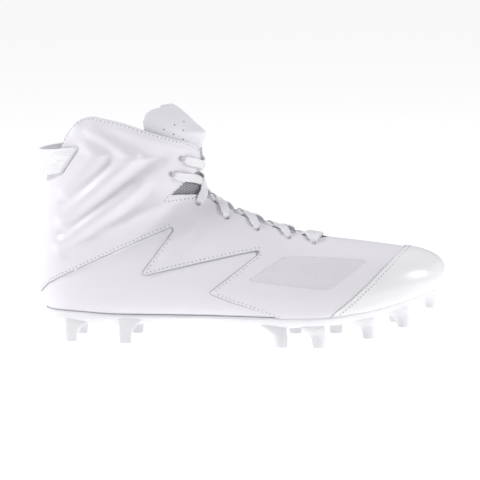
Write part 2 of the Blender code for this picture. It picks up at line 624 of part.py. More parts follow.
def stand(pieces, cutters):
    """Put every piece under one empty at the middle of the shoe's box, on the ground."""
    graph = bpy.context.evaluated_depsgraph_get()
    corners = [vertex.co for piece in pieces for vertex in piece.evaluated_get(graph).data.vertices]
    middle = [(min(c[axis] for c in corners) + max(c[axis] for c in corners)) / 2 for axis in (0, 1)]
    origin = bpy.data.objects.new("shoe_origin", None)
    bpy.context.scene.collection.objects.link(origin)
    origin.location = (-middle[0], -middle[1], 0)
    for piece in list(pieces) + list(cutters.objects):
        piece.parent = origin


def main():
    """Model the shoe."""
    for old in list(bpy.data.objects):
        bpy.data.objects.remove(old, do_unlink=True)
    parts = new_collection("football_cleat")
    cutters = new_collection("cutters")
    pieces = [build_outsole(parts, cutters), build_upper(parts, cutters),
              build_toe_cap(parts, cutters), build_insole(parts), build_tongue(parts),
              build_laces(parts, cutters), build_pull_loop(parts)]
    for cutter in cutters.objects:
        cutter.hide_render = True
        cutter.display_type = "WIRE"
    stand(pieces, cutters)


main()
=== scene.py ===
"""Finished look of a white high-top american football cleat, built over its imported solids.

Every soft and moulded piece is rebuilt as a fine mesh from the same last form as the solids:
sections that run from the toe tip, along the foot, round the heel and up the shaft. Lengths are
in metres in the last's own frame, +X to the toe, -Y to the outer side, +Z up, and each piece is
moved into the row's frame when its mesh is made.
"""

import logging
import math
from dataclasses import dataclass, field
from enum import Enum
from typing import Callable, Optional, Sequence, Union

import bmesh
import bpy
import numpy as np
from mathutils import Matrix, Vector
from mathutils.bvhtree import BVHTree


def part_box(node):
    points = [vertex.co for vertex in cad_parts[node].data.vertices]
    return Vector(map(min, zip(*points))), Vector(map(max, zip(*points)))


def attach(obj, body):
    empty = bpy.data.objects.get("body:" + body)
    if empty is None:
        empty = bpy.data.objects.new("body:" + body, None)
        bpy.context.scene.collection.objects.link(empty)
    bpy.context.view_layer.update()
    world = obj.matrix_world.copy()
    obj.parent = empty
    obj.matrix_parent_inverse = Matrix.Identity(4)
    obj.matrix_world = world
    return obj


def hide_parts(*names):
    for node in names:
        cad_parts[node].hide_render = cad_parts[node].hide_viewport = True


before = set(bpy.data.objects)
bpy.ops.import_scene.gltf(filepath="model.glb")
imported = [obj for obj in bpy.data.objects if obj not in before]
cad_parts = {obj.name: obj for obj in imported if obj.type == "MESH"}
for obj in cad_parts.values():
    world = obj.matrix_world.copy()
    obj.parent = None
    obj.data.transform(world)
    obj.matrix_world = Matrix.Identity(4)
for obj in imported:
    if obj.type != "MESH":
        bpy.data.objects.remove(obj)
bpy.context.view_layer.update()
LOG = logging.getLogger("cleat")

Array = np.ndarray
Number = Union[float, "Value"]
Colour = tuple[float, float, float, float]
FULL_TURN = 2 * math.pi

# The last form's sections, from the toe tip to the top of the shaft.
SECTION_COLUMNS = ("front", "instep", "shaft", "back", "spring", "rise", "offset", "ball", "ankle",
                   "widest", "round_top", "round_under", "sole")
SECTIONS = np.array((
    (1.0000, 0.467, 0.000, 1.0000, 1.000, 0.000, 0.082, 0.000, 0.000, 0.45, 2.00, 2.00, 0.0),
    (0.9956, 0.538, 0.000, 0.9956, 0.841, 0.000, 0.082, 0.268, 0.000, 0.42, 2.10, 2.10, 0.5),
    (0.9796, 0.598, 0.000, 0.9796, 0.734, 0.000, 0.080, 0.474, 0.000, 0.38, 2.20, 2.40, 0.8),
    (0.9491, 0.643, 0.000, 0.9491, 0.602, 0.000, 0.072, 0.639, 0.000, 0.34, 2.30, 2.80, 0.95),
    (0.9032, 0.675, 0.000, 0.9032, 0.438, 0.000, 0.057, 0.794, 0.000, 0.31, 2.30, 3.20, 1.0),
    (0.8421, 0.704, 0.000, 0.8421, 0.269, 0.000, 0.033, 0.918, 0.000, 0.29, 2.20, 3.60, 1.0),
    (0.7742, 0.732, 0.000, 0.7742, 0.138, 0.000, 0.010, 0.990, 0.000, 0.28, 2.10, 3.80, 1.0),
    (0.7063, 0.760, 0.000, 0.7063, 0.041, 0.000, -0.008, 1.000, 0.000, 0.27, 1.95, 3.80, 1.0),
    (0.6384, 0.804, 0.000, 0.6384, 0.000, 0.000, -0.023, 0.938, 0.000, 0.27, 1.80, 3.60, 1.0),
    (0.5705, 0.874, 0.000, 0.5603, -0.007, 0.000, -0.036, 0.600, 0.326, 0.27, 1.70, 3.30, 1.0),
    (0.5161, 0.940, 0.000, 0.4720, 0.007, 0.000, -0.041, 0.350, 0.548, 0.28, 1.65, 3.10, 1.0),
    (0.4720, 1.000, 0.000, 0.3667, 0.007, 0.000, -0.033, 0.120, 0.772, 0.29, 1.65, 2.90, 1.0),
    (0.4397, 1.000, 0.085, 0.2513, -0.034, 0.000, -0.016, 0.000, 0.904, 0.31, 1.70, 2.90, 1.0),
    (0.4228, 1.000, 0.162, 0.1358, -0.055, 0.000, -0.004, 0.000, 0.904, 0.33, 1.80, 2.90, 1.0),
    (0.4143, 1.000, 0.238, 0.0475, 0.000, 0.000, 0.000, 0.000, 0.890, 0.36, 1.90, 2.60, 0.85),
    (0.4102, 1.000, 0.315, 0.0153, 0.000, 0.038, 0.000, 0.000, 0.904, 0.38, 2.00, 2.40, 0.45),
    (0.4081, 1.000, 0.392, -0.0027, 0.000, 0.126, 0.000, 0.000, 0.932, 0.40, 2.05, 2.30, 0.1),
    (0.4075, 1.000, 0.469, 0.0014, 0.000, 0.264, 0.000, 0.000, 0.973, 0.42, 2.10, 2.25, 0.0),
    (0.4075, 1.000, 0.562, 0.0109, 0.000, 0.410, 0.000, 0.000, 1.000, 0.44, 2.10, 2.20, 0.0),
    (0.4081, 1.000, 0.669, 0.0183, 0.000, 0.556, 0.000, 0.000, 1.000, 0.46, 2.10, 2.20, 0.0),
    (0.4095, 1.000, 0.792, 0.0238, 0.000, 0.689, 0.000, 0.000, 0.992, 0.47, 2.10, 2.20, 0.0),
    (0.4088, 1.000, 0.931, 0.0306, 0.000, 0.817, 0.000, 0.000, 1.000, 0.48, 2.10, 2.20, 0.0),
    (0.3990, 1.000, 1.085, 0.0407, 0.000, 0.945, 0.000, 0.000, 1.027, 0.49, 2.10, 2.20, 0.0),
    (0.3803, 1.000, 1.238, 0.0543, 0.000, 1.066, 0.000, 0.000, 1.055, 0.50, 2.10, 2.20, 0.0),
))
LAST_ROW = len(SECTIONS) - 1

# Side-view lines: along is a share of the last's length, up a share of the shaft's full height.
COLLAR_LINE = ((-0.060, 0.790), (0.000, 0.806), (0.045, 0.830), (0.075, 0.863), (0.091, 0.922),
               (0.111, 0.960), (0.135, 0.993), (0.159, 1.000), (0.190, 0.989), (0.231, 0.973),
               (0.285, 0.943), (0.335, 0.913), (0.384, 0.879), (0.400, 0.855), (0.407, 0.830),
               (0.425, 0.800), (0.470, 0.790))
# The collar's inner side is lower than that line by a share of the ankle's width.
COLLAR_DROP_LINE = ((0.040, 0.00), (0.070, 0.03), (0.110, 0.11), (0.150, 0.15), (0.270, 0.15),
                    (0.320, 0.09), (0.370, 0.01), (0.400, 0.00))
ZIGZAG_LINE = ((-0.080, 0.140), (0.001, 0.208), (0.032, 0.261), (0.069, 0.296), (0.172, 0.382),
               (0.270, 0.460), (0.330, 0.504), (0.345, 0.517), (0.350, 0.511), (0.351, 0.498),
               (0.314, 0.407), (0.278, 0.322), (0.279, 0.313), (0.286, 0.310), (0.418, 0.367),
               (0.516, 0.407), (0.557, 0.421), (0.566, 0.419), (0.563, 0.405), (0.501, 0.317),
               (0.446, 0.241), (0.447, 0.234), (0.495, 0.203), (0.558, 0.171), (0.609, 0.137),
               (0.616, 0.131))
SEAM_LINE = ((0.7300, 0.132), (0.7645, 0.182), (0.7940, 0.226), (0.8306, 0.286), (0.8604, 0.340),
             (0.8873, 0.386), (0.9150, 0.425), (0.9450, 0.460))
# The forefoot's plain ribbed panel, as corners of one slanted field.
PANEL_LINE = ((0.540, 0.300), (0.622, 0.395), (0.660, 0.400), (0.820, 0.385), (0.826, 0.375),
              (0.745, 0.268), (0.735, 0.262), (0.545, 0.290))
# The ankle's padded folds: each is a side-view line with its height and its half width.
FOLDS = (
    (0.0020, 0.0052, ((0.120, 0.960), (0.160, 0.862), (0.172, 0.826), (0.148, 0.778), (0.117, 0.724),
                      (0.087, 0.669))),
    (-0.0016, 0.0042, ((0.137, 0.921), (0.167, 0.886), (0.195, 0.861), (0.211, 0.838), (0.183, 0.786),
                       (0.138, 0.711), (0.086, 0.633))),
    (0.0021, 0.0046, ((0.162, 0.931), (0.193, 0.899), (0.229, 0.861), (0.260, 0.826), (0.233, 0.774),
                      (0.178, 0.690), (0.127, 0.620), (0.080, 0.550))),
    (-0.0017, 0.0044, ((0.212, 0.908), (0.253, 0.869), (0.295, 0.838), (0.323, 0.821), (0.293, 0.791),
                       (0.240, 0.726), (0.172, 0.630), (0.121, 0.553), (0.080, 0.492))),
    (0.0019, 0.0046, ((0.267, 0.682), (0.226, 0.625), (0.177, 0.560), (0.125, 0.497), (0.071, 0.435))),
    (-0.0013, 0.0044, ((0.302, 0.679), (0.261, 0.614), (0.219, 0.558), (0.175, 0.516), (0.124, 0.461),
                       (0.084, 0.410))),
    (0.0009, 0.0040, ((0.312, 0.603), (0.272, 0.574), (0.236, 0.545), (0.185, 0.509))),
    (0.0010, 0.0036, ((0.391, 0.493), (0.374, 0.467), (0.356, 0.438), (0.331, 0.397))),
    (-0.0007, 0.0060, ((0.420, 0.475), (0.403, 0.440), (0.380, 0.405))),
)
# The slot at each side that the pull loop's strap goes into.
SLOT_LINE = ((0.127, 0.871), (0.080, 0.751))
# The plate's upper edge: place along, share of the toe's spring, share of the plate's rise.
PLATE_EDGE = np.array((
    (-0.040, 0.00, 1.05), (0.100, 0.00, 0.90), (0.200, 0.00, 0.70), (0.330, 0.00, 0.72),
    (0.440, 0.00, 0.79), (0.607, 0.00, 0.89), (0.670, 0.00, 0.99), (0.744, 0.09, 0.81),
    (0.815, 0.20, 0.77), (0.883, 0.37, 0.65), (0.944, 0.58, 0.52), (0.985, 0.74, 0.39),
    (1.040, 0.86, 0.34)))
# The throat's edge: section row, and distance from the middle as a share of the throat's width.
THROAT_LINE = ((6.85, 0.02), (6.92, 0.20), (7.05, 0.36), (7.25, 0.46), (8.0, 0.50), (9.3, 0.47),
               (10.7, 0.42), (12.0, 0.43), (12.9, 0.46), (13.3, 0.66), (14.2, 0.95), (15.0, 1.20),
               (15.38, 1.32), (15.48, 1.33), (15.56, 1.22), (15.68, 0.98), (15.9, 0.60),
               (16.1, 0.40), (16.6, 0.31), (17.5, 0.28), (19.0, 0.28), (22.5, 0.28))
# Eyelets from the ankle down: section row, and distance from the middle as a share.
EYELETS = ((18.30, 0.72), (17.40, 0.84), (12.70, 0.45), (10.70, 0.42), (9.30, 0.48), (8.15, 0.50),
           (7.22, 0.57))
# The tongue's outline: section row and half width as a turn.
TONGUE_LINE = ((6.3, 0.10), (6.6, 0.17), (7.5, 0.20), (9.0, 0.21), (11.0, 0.22), (13.0, 0.24),
               (14.5, 0.27), (15.5, 0.29), (16.3, 0.31), (17.2, 0.33), (18.2, 0.35), (19.2, 0.365),
               (20.0, 0.37), (20.7, 0.365), (21.2, 0.34), (21.6, 0.29), (21.9, 0.22), (22.05, 0.14),
               (22.12, 0.05))
# Studs: place along and across, lift of the tip with the toe's spring, lean, and size.
STUDS = (
    (0.087, -0.196, 0.00, 0.75, 1.00), (0.226, -0.258, 0.00, 0.75, 1.00),
    (0.087, 0.175, 0.00, 0.75, 1.00), (0.226, 0.227, 0.00, 0.75, 1.00),
    (0.615, -0.345, 0.00, -1.0, 1.05), (0.708, -0.360, 0.00, -1.0, 1.05),
    (0.622, 0.295, 0.00, -1.0, 1.05), (0.722, 0.325, 0.00, -1.0, 1.05),
    (0.826, -0.290, 0.22, -1.0, 1.00), (0.906, -0.180, 0.45, -1.0, 0.95),
    (0.872, 0.240, 0.35, -1.0, 1.00), (0.966, 0.030, 0.83, -0.6, 0.85))

# A stud's rings: level from its tip to the plate, and width against its tip's.
STUD_RINGS = ((0.0, 0.88), (0.05, 1.0), (0.35, 1.07), (0.65, 1.28), (0.97, 2.0), (1.35, 2.2))
# Air holes at each side of the tongue: row and turn.
TONGUE_HOLES = ((20.94, 0.106), (20.82, 0.188), (20.65, 0.267), (20.36, 0.157), (20.24, 0.229),
                (19.71, 0.175))


class Side(Enum):
    """The shoe's two sides, with the sign of a turn there."""

    OUTER = 1
    INNER = -1


def smooth_column(rows: Array, values: Array) -> Array:
    """Read a table's column between its rows, on a smooth curve through them.

    Args:
        rows: Row numbers, whole or between two rows.
        values: The column's values, one for each whole row.

    Returns:
        The column's value at each row number.
    """
    values = np.asarray(values, float)
    slopes = np.gradient(values)
    first = np.clip(np.floor(rows).astype(int), 0, len(values) - 2)
    part = rows - first
    soft = part * part * (3 - 2 * part)
    rising = part * (1 - part) ** 2
    falling = part * part * (1 - part)
    return (values[first] + (values[first + 1] - values[first]) * soft
            + slopes[first] * rising - slopes[first + 1] * falling)


def unit(vectors: Array) -> Array:
    """Vectors made one long."""
    return vectors / np.maximum(np.linalg.norm(vectors, axis=-1, keepdims=True), 1e-12)


def ease(value: Array) -> Array:
    """A soft step from 0 at 0 to 1 at 1."""
    value = np.clip(value, 0, 1)
    return value * value * (3 - 2 * value)


@dataclass(frozen=True)
class LastForm:
    """The shoe's last form: its driving sizes and the surface that they make."""

    length: float = 0.2945
    ball_width: float = 0.097
    ankle_width: float = 0.073
    instep_height: float = 0.0995
    shaft_rise: float = 0.065
    sole_height: float = 0.0156
    toe_spring: float = 0.029
    plate_rise: float = 0.0075
    gap: float = 0.0003
    cap_thickness: float = 0.001

    @property
    def shaft_height(self) -> float:
        """Height of the shaft's top over the ground."""
        return self.instep_height + self.shaft_rise

    def origin(self) -> Array:
        """Find the last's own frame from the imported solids.

        Returns:
            Where it starts in the row's frame.
        """
        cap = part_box("toe_cap")
        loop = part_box("pull_loop")
        tip = self.length + self.gap + self.cap_thickness
        return np.array((cap[1].x - tip, (loop[0].y + loop[1].y) / 2, 0.0))

    def section(self, name: str, rows: Array) -> Array:
        """A column of the section table at any rows."""
        return smooth_column(rows, SECTIONS[:, SECTION_COLUMNS.index(name)])

    def half(self, rows: Array) -> Array:
        """Half the width of the sections at some rows."""
        return (self.ball_width * self.section("ball", rows)
                + self.ankle_width * self.section("ankle", rows)) / 2

    def point(self, rows: Array, turns: Array, drop: float = 0.0) -> Array:
        """Points of the last form.

        Args:
            rows: Section rows.
            turns: 0 at the top or front, 1 at the sole or heel back, with the side's sign.
            drop: How far the sole is lowered.

        Returns:
            Points, with a last axis of three.
        """
        rows, turns = np.broadcast_arrays(np.asarray(rows, float), np.asarray(turns, float))
        upper_x = self.length * self.section("front", rows)
        upper_z = (self.instep_height * self.section("instep", rows)
                   + self.shaft_rise * self.section("shaft", rows))
        under_x = self.length * self.section("back", rows)
        under_z = (self.sole_height + self.toe_spring * self.section("spring", rows)
                   + self.shaft_height * self.section("rise", rows)
                   - drop * self.section("sole", rows))
        widest = self.section("widest", rows)
        cosine, sine = np.cos(turns * math.pi), np.sin(turns * math.pi)
        squareness = np.where(cosine >= 0, self.section("round_top", rows),
                              self.section("round_under", rows))
        bulge = np.abs(cosine) ** (2 / squareness)
        level = np.where(cosine >= 0, widest + (1 - widest) * bulge, widest - widest * bulge)
        across = (self.ball_width * self.section("offset", rows)
                  - self.half(rows) * np.sign(sine) * np.abs(sine) ** (2 / squareness))
        return np.stack((under_x + (upper_x - under_x) * level, across,
                         under_z + (upper_z - under_z) * level), -1)

    def normal(self, rows: Array, turns: Array, drop: float = 0.0) -> Array:
        """Outward normals of the last form.

        Args:
            rows: Section rows.
            turns: Turns, as for its points.
            drop: How far the sole is lowered.

        Returns:
            Normals, one long.
        """
        rows, turns = np.broadcast_arrays(np.asarray(rows, float), np.asarray(turns, float))
        step = 1e-3
        along = self.point(rows + step, turns, drop) - self.point(rows - step, turns, drop)
        around = self.point(rows, turns + step, drop) - self.point(rows, turns - step, drop)
        normal = np.cross(along, around)
        normal[rows < 1e-6] = (1, 0, 0)
        return unit(normal)

    def grown(self, rows: Array, turns: Array, grow: Union[float, Array] = 0.0,
              drop: float = 0.0) -> Array:
        """Points of the last form, moved out along its normals.

        Args:
            rows: Section rows.
            turns: Turns, as for its points.
            grow: How far they are moved.
            drop: How far the sole is lowered.

        Returns:
            The points.
        """
        normal = self.normal(rows, turns, drop)
        grow = np.broadcast_to(np.asarray(grow, float), normal.shape[:-1])
        return self.point(rows, turns, drop) + normal * grow[..., None]

    def turn_at(self, row: Array, distance: Array) -> Array:
        """Find a place on a section's upper half.

        Args:
            row: The section's row.
            distance: How far from its middle the place lies.

        Returns:
            The turn there.
        """
        row = np.asarray(row, float)
        share = np.clip(distance / self.half(row), 0, 1)
        return np.arcsin(share ** (self.section("round_top", row) / 2)) / math.pi

    def side_points(self, line: Sequence[tuple[float, float]]) -> Array:
        """A side-view table as points in metres."""
        return np.array(line) * (self.length, self.shaft_height)

    def smooth_line(self, line: Sequence[tuple[float, float]], steps: int) -> Array:
        """A smooth curve through a side-view table.

        Args:
            line: The table.
            steps: Steps between two of its places.

        Returns:
            The curve's points, in metres.
        """
        table = self.side_points(line)
        rows = np.linspace(0, len(table) - 1, (len(table) - 1) * steps + 1)
        return np.stack((smooth_column(rows, table[:, 0]), smooth_column(rows, table[:, 1])), -1)

    def plate_edge(self, x: Array) -> Array:
        """Height of the plate's upper edge.

        Args:
            x: Places along the shoe.

        Returns:
            The height at each.
        """
        stations = np.linspace(0, len(PLATE_EDGE) - 1, 97)
        along, spring, wall = (smooth_column(stations, column) for column in PLATE_EDGE.T)
        height = self.sole_height + self.toe_spring * spring + self.plate_rise * wall
        return np.interp(x, along * self.length, height)


class SideLine:
    """A line or outline in the side view, to measure distances from."""

    def __init__(self, points: Array, closed: bool = False) -> None:
        """Keep the line's points.

        Args:
            points: Its points, along and up, in metres.
            closed: Whether it is an outline that encloses a field.
        """
        self.points = np.asarray(points, float)
        self.closed = closed

    def nearest(self, places: Array) -> tuple[Array, Array]:
        """Find the line's nearest place.

        Args:
            places: Places in 3-D.

        Returns:
            The distance from the line, and how far along it from 0 to 1.
        """
        flat = places[..., (0, 2)]
        best = np.full(flat.shape[:-1], 1e9)
        along = np.zeros(flat.shape[:-1])
        ends = np.roll(self.points, -1, axis=0) if self.closed else self.points[1:]
        lengths = np.linalg.norm(ends - self.points[:len(ends)], axis=-1)
        travelled = 0.0
        for start, end, size in zip(self.points, ends, lengths):
            step = end - start
            part = np.clip(((flat - start) @ step) / max(size * size, 1e-12), 0, 1)
            distance = np.linalg.norm(flat - start - part[..., None] * step, axis=-1)
            closer = distance < best
            best = np.where(closer, distance, best)
            along = np.where(closer, (travelled + part * size) / lengths.sum(), along)
            travelled += size
        return best, along

    def signed(self, places: Array) -> Array:
        """Distance from an outline.

        Args:
            places: Places in 3-D.

        Returns:
            The distance, above zero inside the outline.
        """
        flat = places[..., (0, 2)]
        inside = np.zeros(flat.shape[:-1], bool)
        for (x1, z1), (x2, z2) in zip(self.points, np.roll(self.points, -1, axis=0)):
            crosses = (z1 > flat[..., 1]) != (z2 > flat[..., 1])
            with np.errstate(divide="ignore", invalid="ignore"):
                edge = (x2 - x1) * (flat[..., 1] - z1) / (z2 - z1) + x1
            inside ^= crosses & (flat[..., 0] < edge)
        return self.nearest(places)[0] * np.where(inside, 1, -1)


def slide(points: Array, normals: Array, distance: Callable[[Array], Array], target: float,
          low: float, high: float) -> Array:
    """Slide the points of a surface that lie near a level of a field on to that level.

    Args:
        points: Points of the surface.
        normals: Its normals there.
        distance: The field, a distance that changes by one metre for each metre.
        target: The level to slide to.
        low: Lowest value of the field that is moved.
        high: Highest value of the field that is moved.

    Returns:
        The points after the slide.
    """
    shape = points.shape
    points, normals = points.reshape(-1, 3).copy(), normals.reshape(-1, 3)
    value = distance(points)
    near = np.flatnonzero((value > low) & (value < high))
    for _ in range(2):
        place, normal = points[near], normals[near]
        step = 2e-5
        slope = np.stack([(distance(place + shift) - distance(place - shift)) / (2 * step)
                          for shift in np.eye(3) * step], -1)
        slope -= normal * (slope * normal).sum(-1, keepdims=True)
        size = np.maximum((slope ** 2).sum(-1, keepdims=True), 0.05)
        move = (target - distance(place))[:, None] * slope / size
        length = np.linalg.norm(move, axis=-1, keepdims=True)
        points[near] = place + move * np.minimum(1, (high - low) / np.maximum(length, 1e-9))
    return points.reshape(shape)


def grid_faces(height: int, width: int, closed: bool = False) -> Array:
    """Quads over a grid of points.

    Args:
        height: How many rows it has.
        width: How many points a row has.
        closed: Whether each row's last point joins its first.

    Returns:
        The faces, row after row.
    """
    i, j = np.meshgrid(np.arange(height - 1), np.arange(width if closed else width - 1), indexing="ij")
    after = (j + 1) % width
    return np.stack((i * width + j, i * width + after, (i + 1) * width + after,
                     (i + 1) * width + j), -1).reshape(-1, 4)


def round_corners(count: int) -> Array:
    """Angles of a ring's corners."""
    return np.linspace(0, FULL_TURN, count, endpoint=False)


def cut_quads(faces: Array, level: Array) -> Array:
    """Cut quads into triangles along the diagonal whose ends lie most nearly level.

    Args:
        faces: The quads.
        level: The height of each point.

    Returns:
        The triangles.
    """
    a, b, c, d = faces.T
    first = np.abs(level[a] - level[c]) <= np.abs(level[b] - level[d])
    one = np.where(first[:, None], np.stack((a, b, c), -1), np.stack((a, b, d), -1))
    two = np.where(first[:, None], np.stack((a, c, d), -1), np.stack((b, c, d), -1))
    return np.concatenate((one, two))


@dataclass
class Shape:
    """Points and faces of a mesh, with the numbers that its finish reads."""

    points: Array
    faces: Array
    values: dict[str, Array] = field(default_factory=dict)

    @staticmethod
    def join(shapes: Sequence["Shape"]) -> "Shape":
        """Put several shapes together.

        Args:
            shapes: The shapes, each with the same named numbers.

        Returns:
            One shape.
        """
        starts = np.cumsum([0] + [len(shape.points) for shape in shapes])
        faces = np.concatenate([shape.faces + start for shape, start in zip(shapes, starts)])
        values = {label: np.concatenate([shape.values[label] for shape in shapes])
                  for label in shapes[0].values}
        return Shape(np.concatenate([shape.points for shape in shapes]), faces, values)

    def surface(self) -> BVHTree:
        """A tree to find places on the shape."""
        return BVHTree.FromPolygons(self.points.tolist(), self.faces.tolist())


class Bench:
    """Makes meshes in the row's frame and sets them on the shoe."""

    def __init__(self, form: LastForm) -> None:
        """Keep the form and find its place in the row's frame."""
        self.form = form
        self.origin = form.origin()

    def piece(self, name: str, shape: Shape, material: bpy.types.Material, slot: str,
              angle: float = 40.0, replaces: Sequence[str] = (), padded: float = 0.0) -> None:
        """Make one piece and let it ride on the shoe.

        Args:
            name: The piece's name.
            shape: Its shape, in the last's own frame, with faces that look outwards.
            material: Its finish.
            slot: Not used; the record's material slot that it belongs to.
            angle: Edges sharper than this many degrees aren't smoothed.
            replaces: The solids that it stands for.
            padded: Not used; how much of its solid a padded piece fills, or 0 for other pieces.
        """
        mesh = bpy.data.meshes.new(name)
        mesh.from_pydata((shape.points + self.origin).tolist(), [], shape.faces.tolist())
        for label, numbers in shape.values.items():
            attribute = mesh.attributes.new(label, "FLOAT", "POINT")
            attribute.data.foreach_set("value", np.asarray(numbers, np.float32))
        weld(mesh)
        mesh.shade_smooth()
        mesh.set_sharp_from_angle(angle=math.radians(angle))
        mesh.materials.append(material)
        made = bpy.data.objects.new(name, mesh)
        bpy.context.scene.collection.objects.link(made)
        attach(made, "root")
        if replaces:
            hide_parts(*replaces)
        LOG.info("%s: %d points, %d faces", name, len(mesh.vertices), len(mesh.polygons))


def weld(mesh: bpy.types.Mesh, reach: float = 2e-6) -> None:
    """Join points that lie together, and drop faces that shrink away by it.

    Args:
        mesh: The mesh.
        reach: How close such points lie.
    """
    shape = bmesh.new()
    shape.from_mesh(mesh)
    bmesh.ops.remove_doubles(shape, verts=shape.verts, dist=reach)
    bmesh.ops.dissolve_degenerate(shape, edges=shape.edges, dist=reach / 4)
    loose = [vert for vert in shape.verts if not vert.link_faces]
    bmesh.ops.delete(shape, geom=loose, context="VERTS")
    shape.to_mesh(mesh)
    shape.free()


def grid_shape(points: Array, inside_out: bool = False, closed: bool = False,
               values: Optional[dict[str, Array]] = None) -> Shape:
    """A shape over a grid of points.

    Args:
        points: Points, row after row.
        inside_out: Whether its faces are turned the other way.
        closed: Whether each row's last point joins its first.
        values: Named numbers, one for each point.

    Returns:
        The shape, whose faces look along the cross product of row step and column step.
    """
    faces = grid_faces(points.shape[0], points.shape[1], closed)
    if not inside_out:
        faces = faces[:, ::-1]
    flat = {label: np.broadcast_to(numbers, points.shape[:-1]).ravel()
            for label, numbers in (values or {}).items()}
    return Shape(points.reshape(-1, 3), faces, flat)


def even_turns(form: LastForm, rows: Array, start: Array, stop: Array, columns: int,
               drop: float = 0.0) -> Array:
    """Turns from start to stop, evenly spaced over the form's surface.

    Args:
        form: The last form.
        rows: Section rows.
        start: The first turn of each row.
        stop: The last turn of each row.
        columns: How many steps lie between them.
        drop: How far the sole is lowered.

    Returns:
        A turn for each row and column.
    """
    start, stop = np.broadcast_to(start, rows.shape), np.broadcast_to(stop, rows.shape)
    turns = start[:, None] + (stop - start)[:, None] * np.linspace(0, 1, 241)
    steps = np.linalg.norm(np.diff(form.point(rows[:, None], turns, drop), axis=1), axis=-1)
    travelled = np.concatenate((np.zeros((len(rows), 1)), np.cumsum(steps, axis=1)), axis=1)
    even = np.linspace(0, 1, columns + 1)
    return np.array([np.interp(even * t[-1], t, u) for t, u in zip(travelled, turns)])


def crossing(values: Array, rows: Array) -> Array:
    """Find where each column of a table first rises past zero.

    Args:
        values: The table.
        rows: The row number of each of its rows.

    Returns:
        The row number for each column.
    """
    first = np.maximum(np.argmax(values > 0, axis=0), 1)
    column = np.arange(values.shape[1])
    below, above = values[first - 1, column], values[first, column]
    part = np.clip(below / (below - above), 0, 1)
    return rows[first - 1] + part * (rows[first] - rows[first - 1])


class Value:
    """A shader socket that takes part in Python sums as a number."""

    def __init__(self, nodes: "Nodes", socket: bpy.types.NodeSocket) -> None:
        """Keep the socket and the tree that it is in."""
        self.nodes = nodes
        self.socket = socket

    def __add__(self, other: Number) -> "Value":
        """Sum."""
        return self.nodes.math("ADD", self, other)

    def __sub__(self, other: Number) -> "Value":
        """Difference."""
        return self.nodes.math("SUBTRACT", self, other)

    def __rsub__(self, other: Number) -> "Value":
        """Difference from a number."""
        return self.nodes.math("SUBTRACT", other, self)

    def __mul__(self, other: Number) -> "Value":
        """Product."""
        return self.nodes.math("MULTIPLY", self, other)

    __radd__ = __add__
    __rmul__ = __mul__

    def __abs__(self) -> "Value":
        """Size without the sign."""
        return self.nodes.math("ABSOLUTE", self, 0.0)

    def wave(self) -> "Value":
        """A wave between 0 and 1, one for each full turn."""
        return self.nodes.math("SINE", self, 0.0) * 0.5 + 0.5

    def between(self, low: float, high: float, bottom: float = 0.0, top: float = 1.0) -> "Value":
        """A soft step.

        Args:
            low: Where the step starts.
            high: Where it ends.
            bottom: The result below it.
            top: The result above it.

        Returns:
            The step.
        """
        made = self.nodes.node("ShaderNodeMapRange", {"interpolation_type": "SMOOTHSTEP"},
                               {"Value": self, "From Min": low, "From Max": high,
                                "To Min": bottom, "To Max": top})
        return Value(self.nodes, made.outputs["Result"])


class Nodes:
    """A tree of shader nodes."""

    def __init__(self, tree: bpy.types.NodeTree) -> None:
        """Keep the tree."""
        self.tree = tree

    def node(self, kind: str, settings: Optional[dict] = None,
             inputs: Optional[dict] = None) -> bpy.types.Node:
        """Add a node.

        Args:
            kind: The node's type.
            settings: Its own settings, which are set first.
            inputs: Values or links for its sockets, by name or number.

        Returns:
            The node.
        """
        made = self.tree.nodes.new(kind)
        for label, setting in (settings or {}).items():
            setattr(made, label, setting)
        for label, value in (inputs or {}).items():
            self.feed(made.inputs[label], value)
        return made

    def feed(self, socket: bpy.types.NodeSocket, value: object) -> None:
        """Link a socket, or set its own value.

        Args:
            socket: The socket.
            value: A value or socket to link, or a plain number or colour.
        """
        if isinstance(value, Value):
            self.tree.links.new(value.socket, socket)
        elif isinstance(value, bpy.types.NodeSocket):
            self.tree.links.new(value, socket)
        else:
            socket.default_value = value

    def math(self, operation: str, first: Number, second: Number) -> Value:
        """A Math node on two numbers."""
        made = self.node("ShaderNodeMath", {"operation": operation}, {0: first, 1: second})
        return Value(self, made.outputs[0])

    def axes(self, place: bpy.types.NodeSocket) -> tuple[Value, Value, Value]:
        """A place along X, Y and Z."""
        made = self.node("ShaderNodeSeparateXYZ", None, {0: place})
        return tuple(Value(self, made.outputs[k]) for k in range(3))


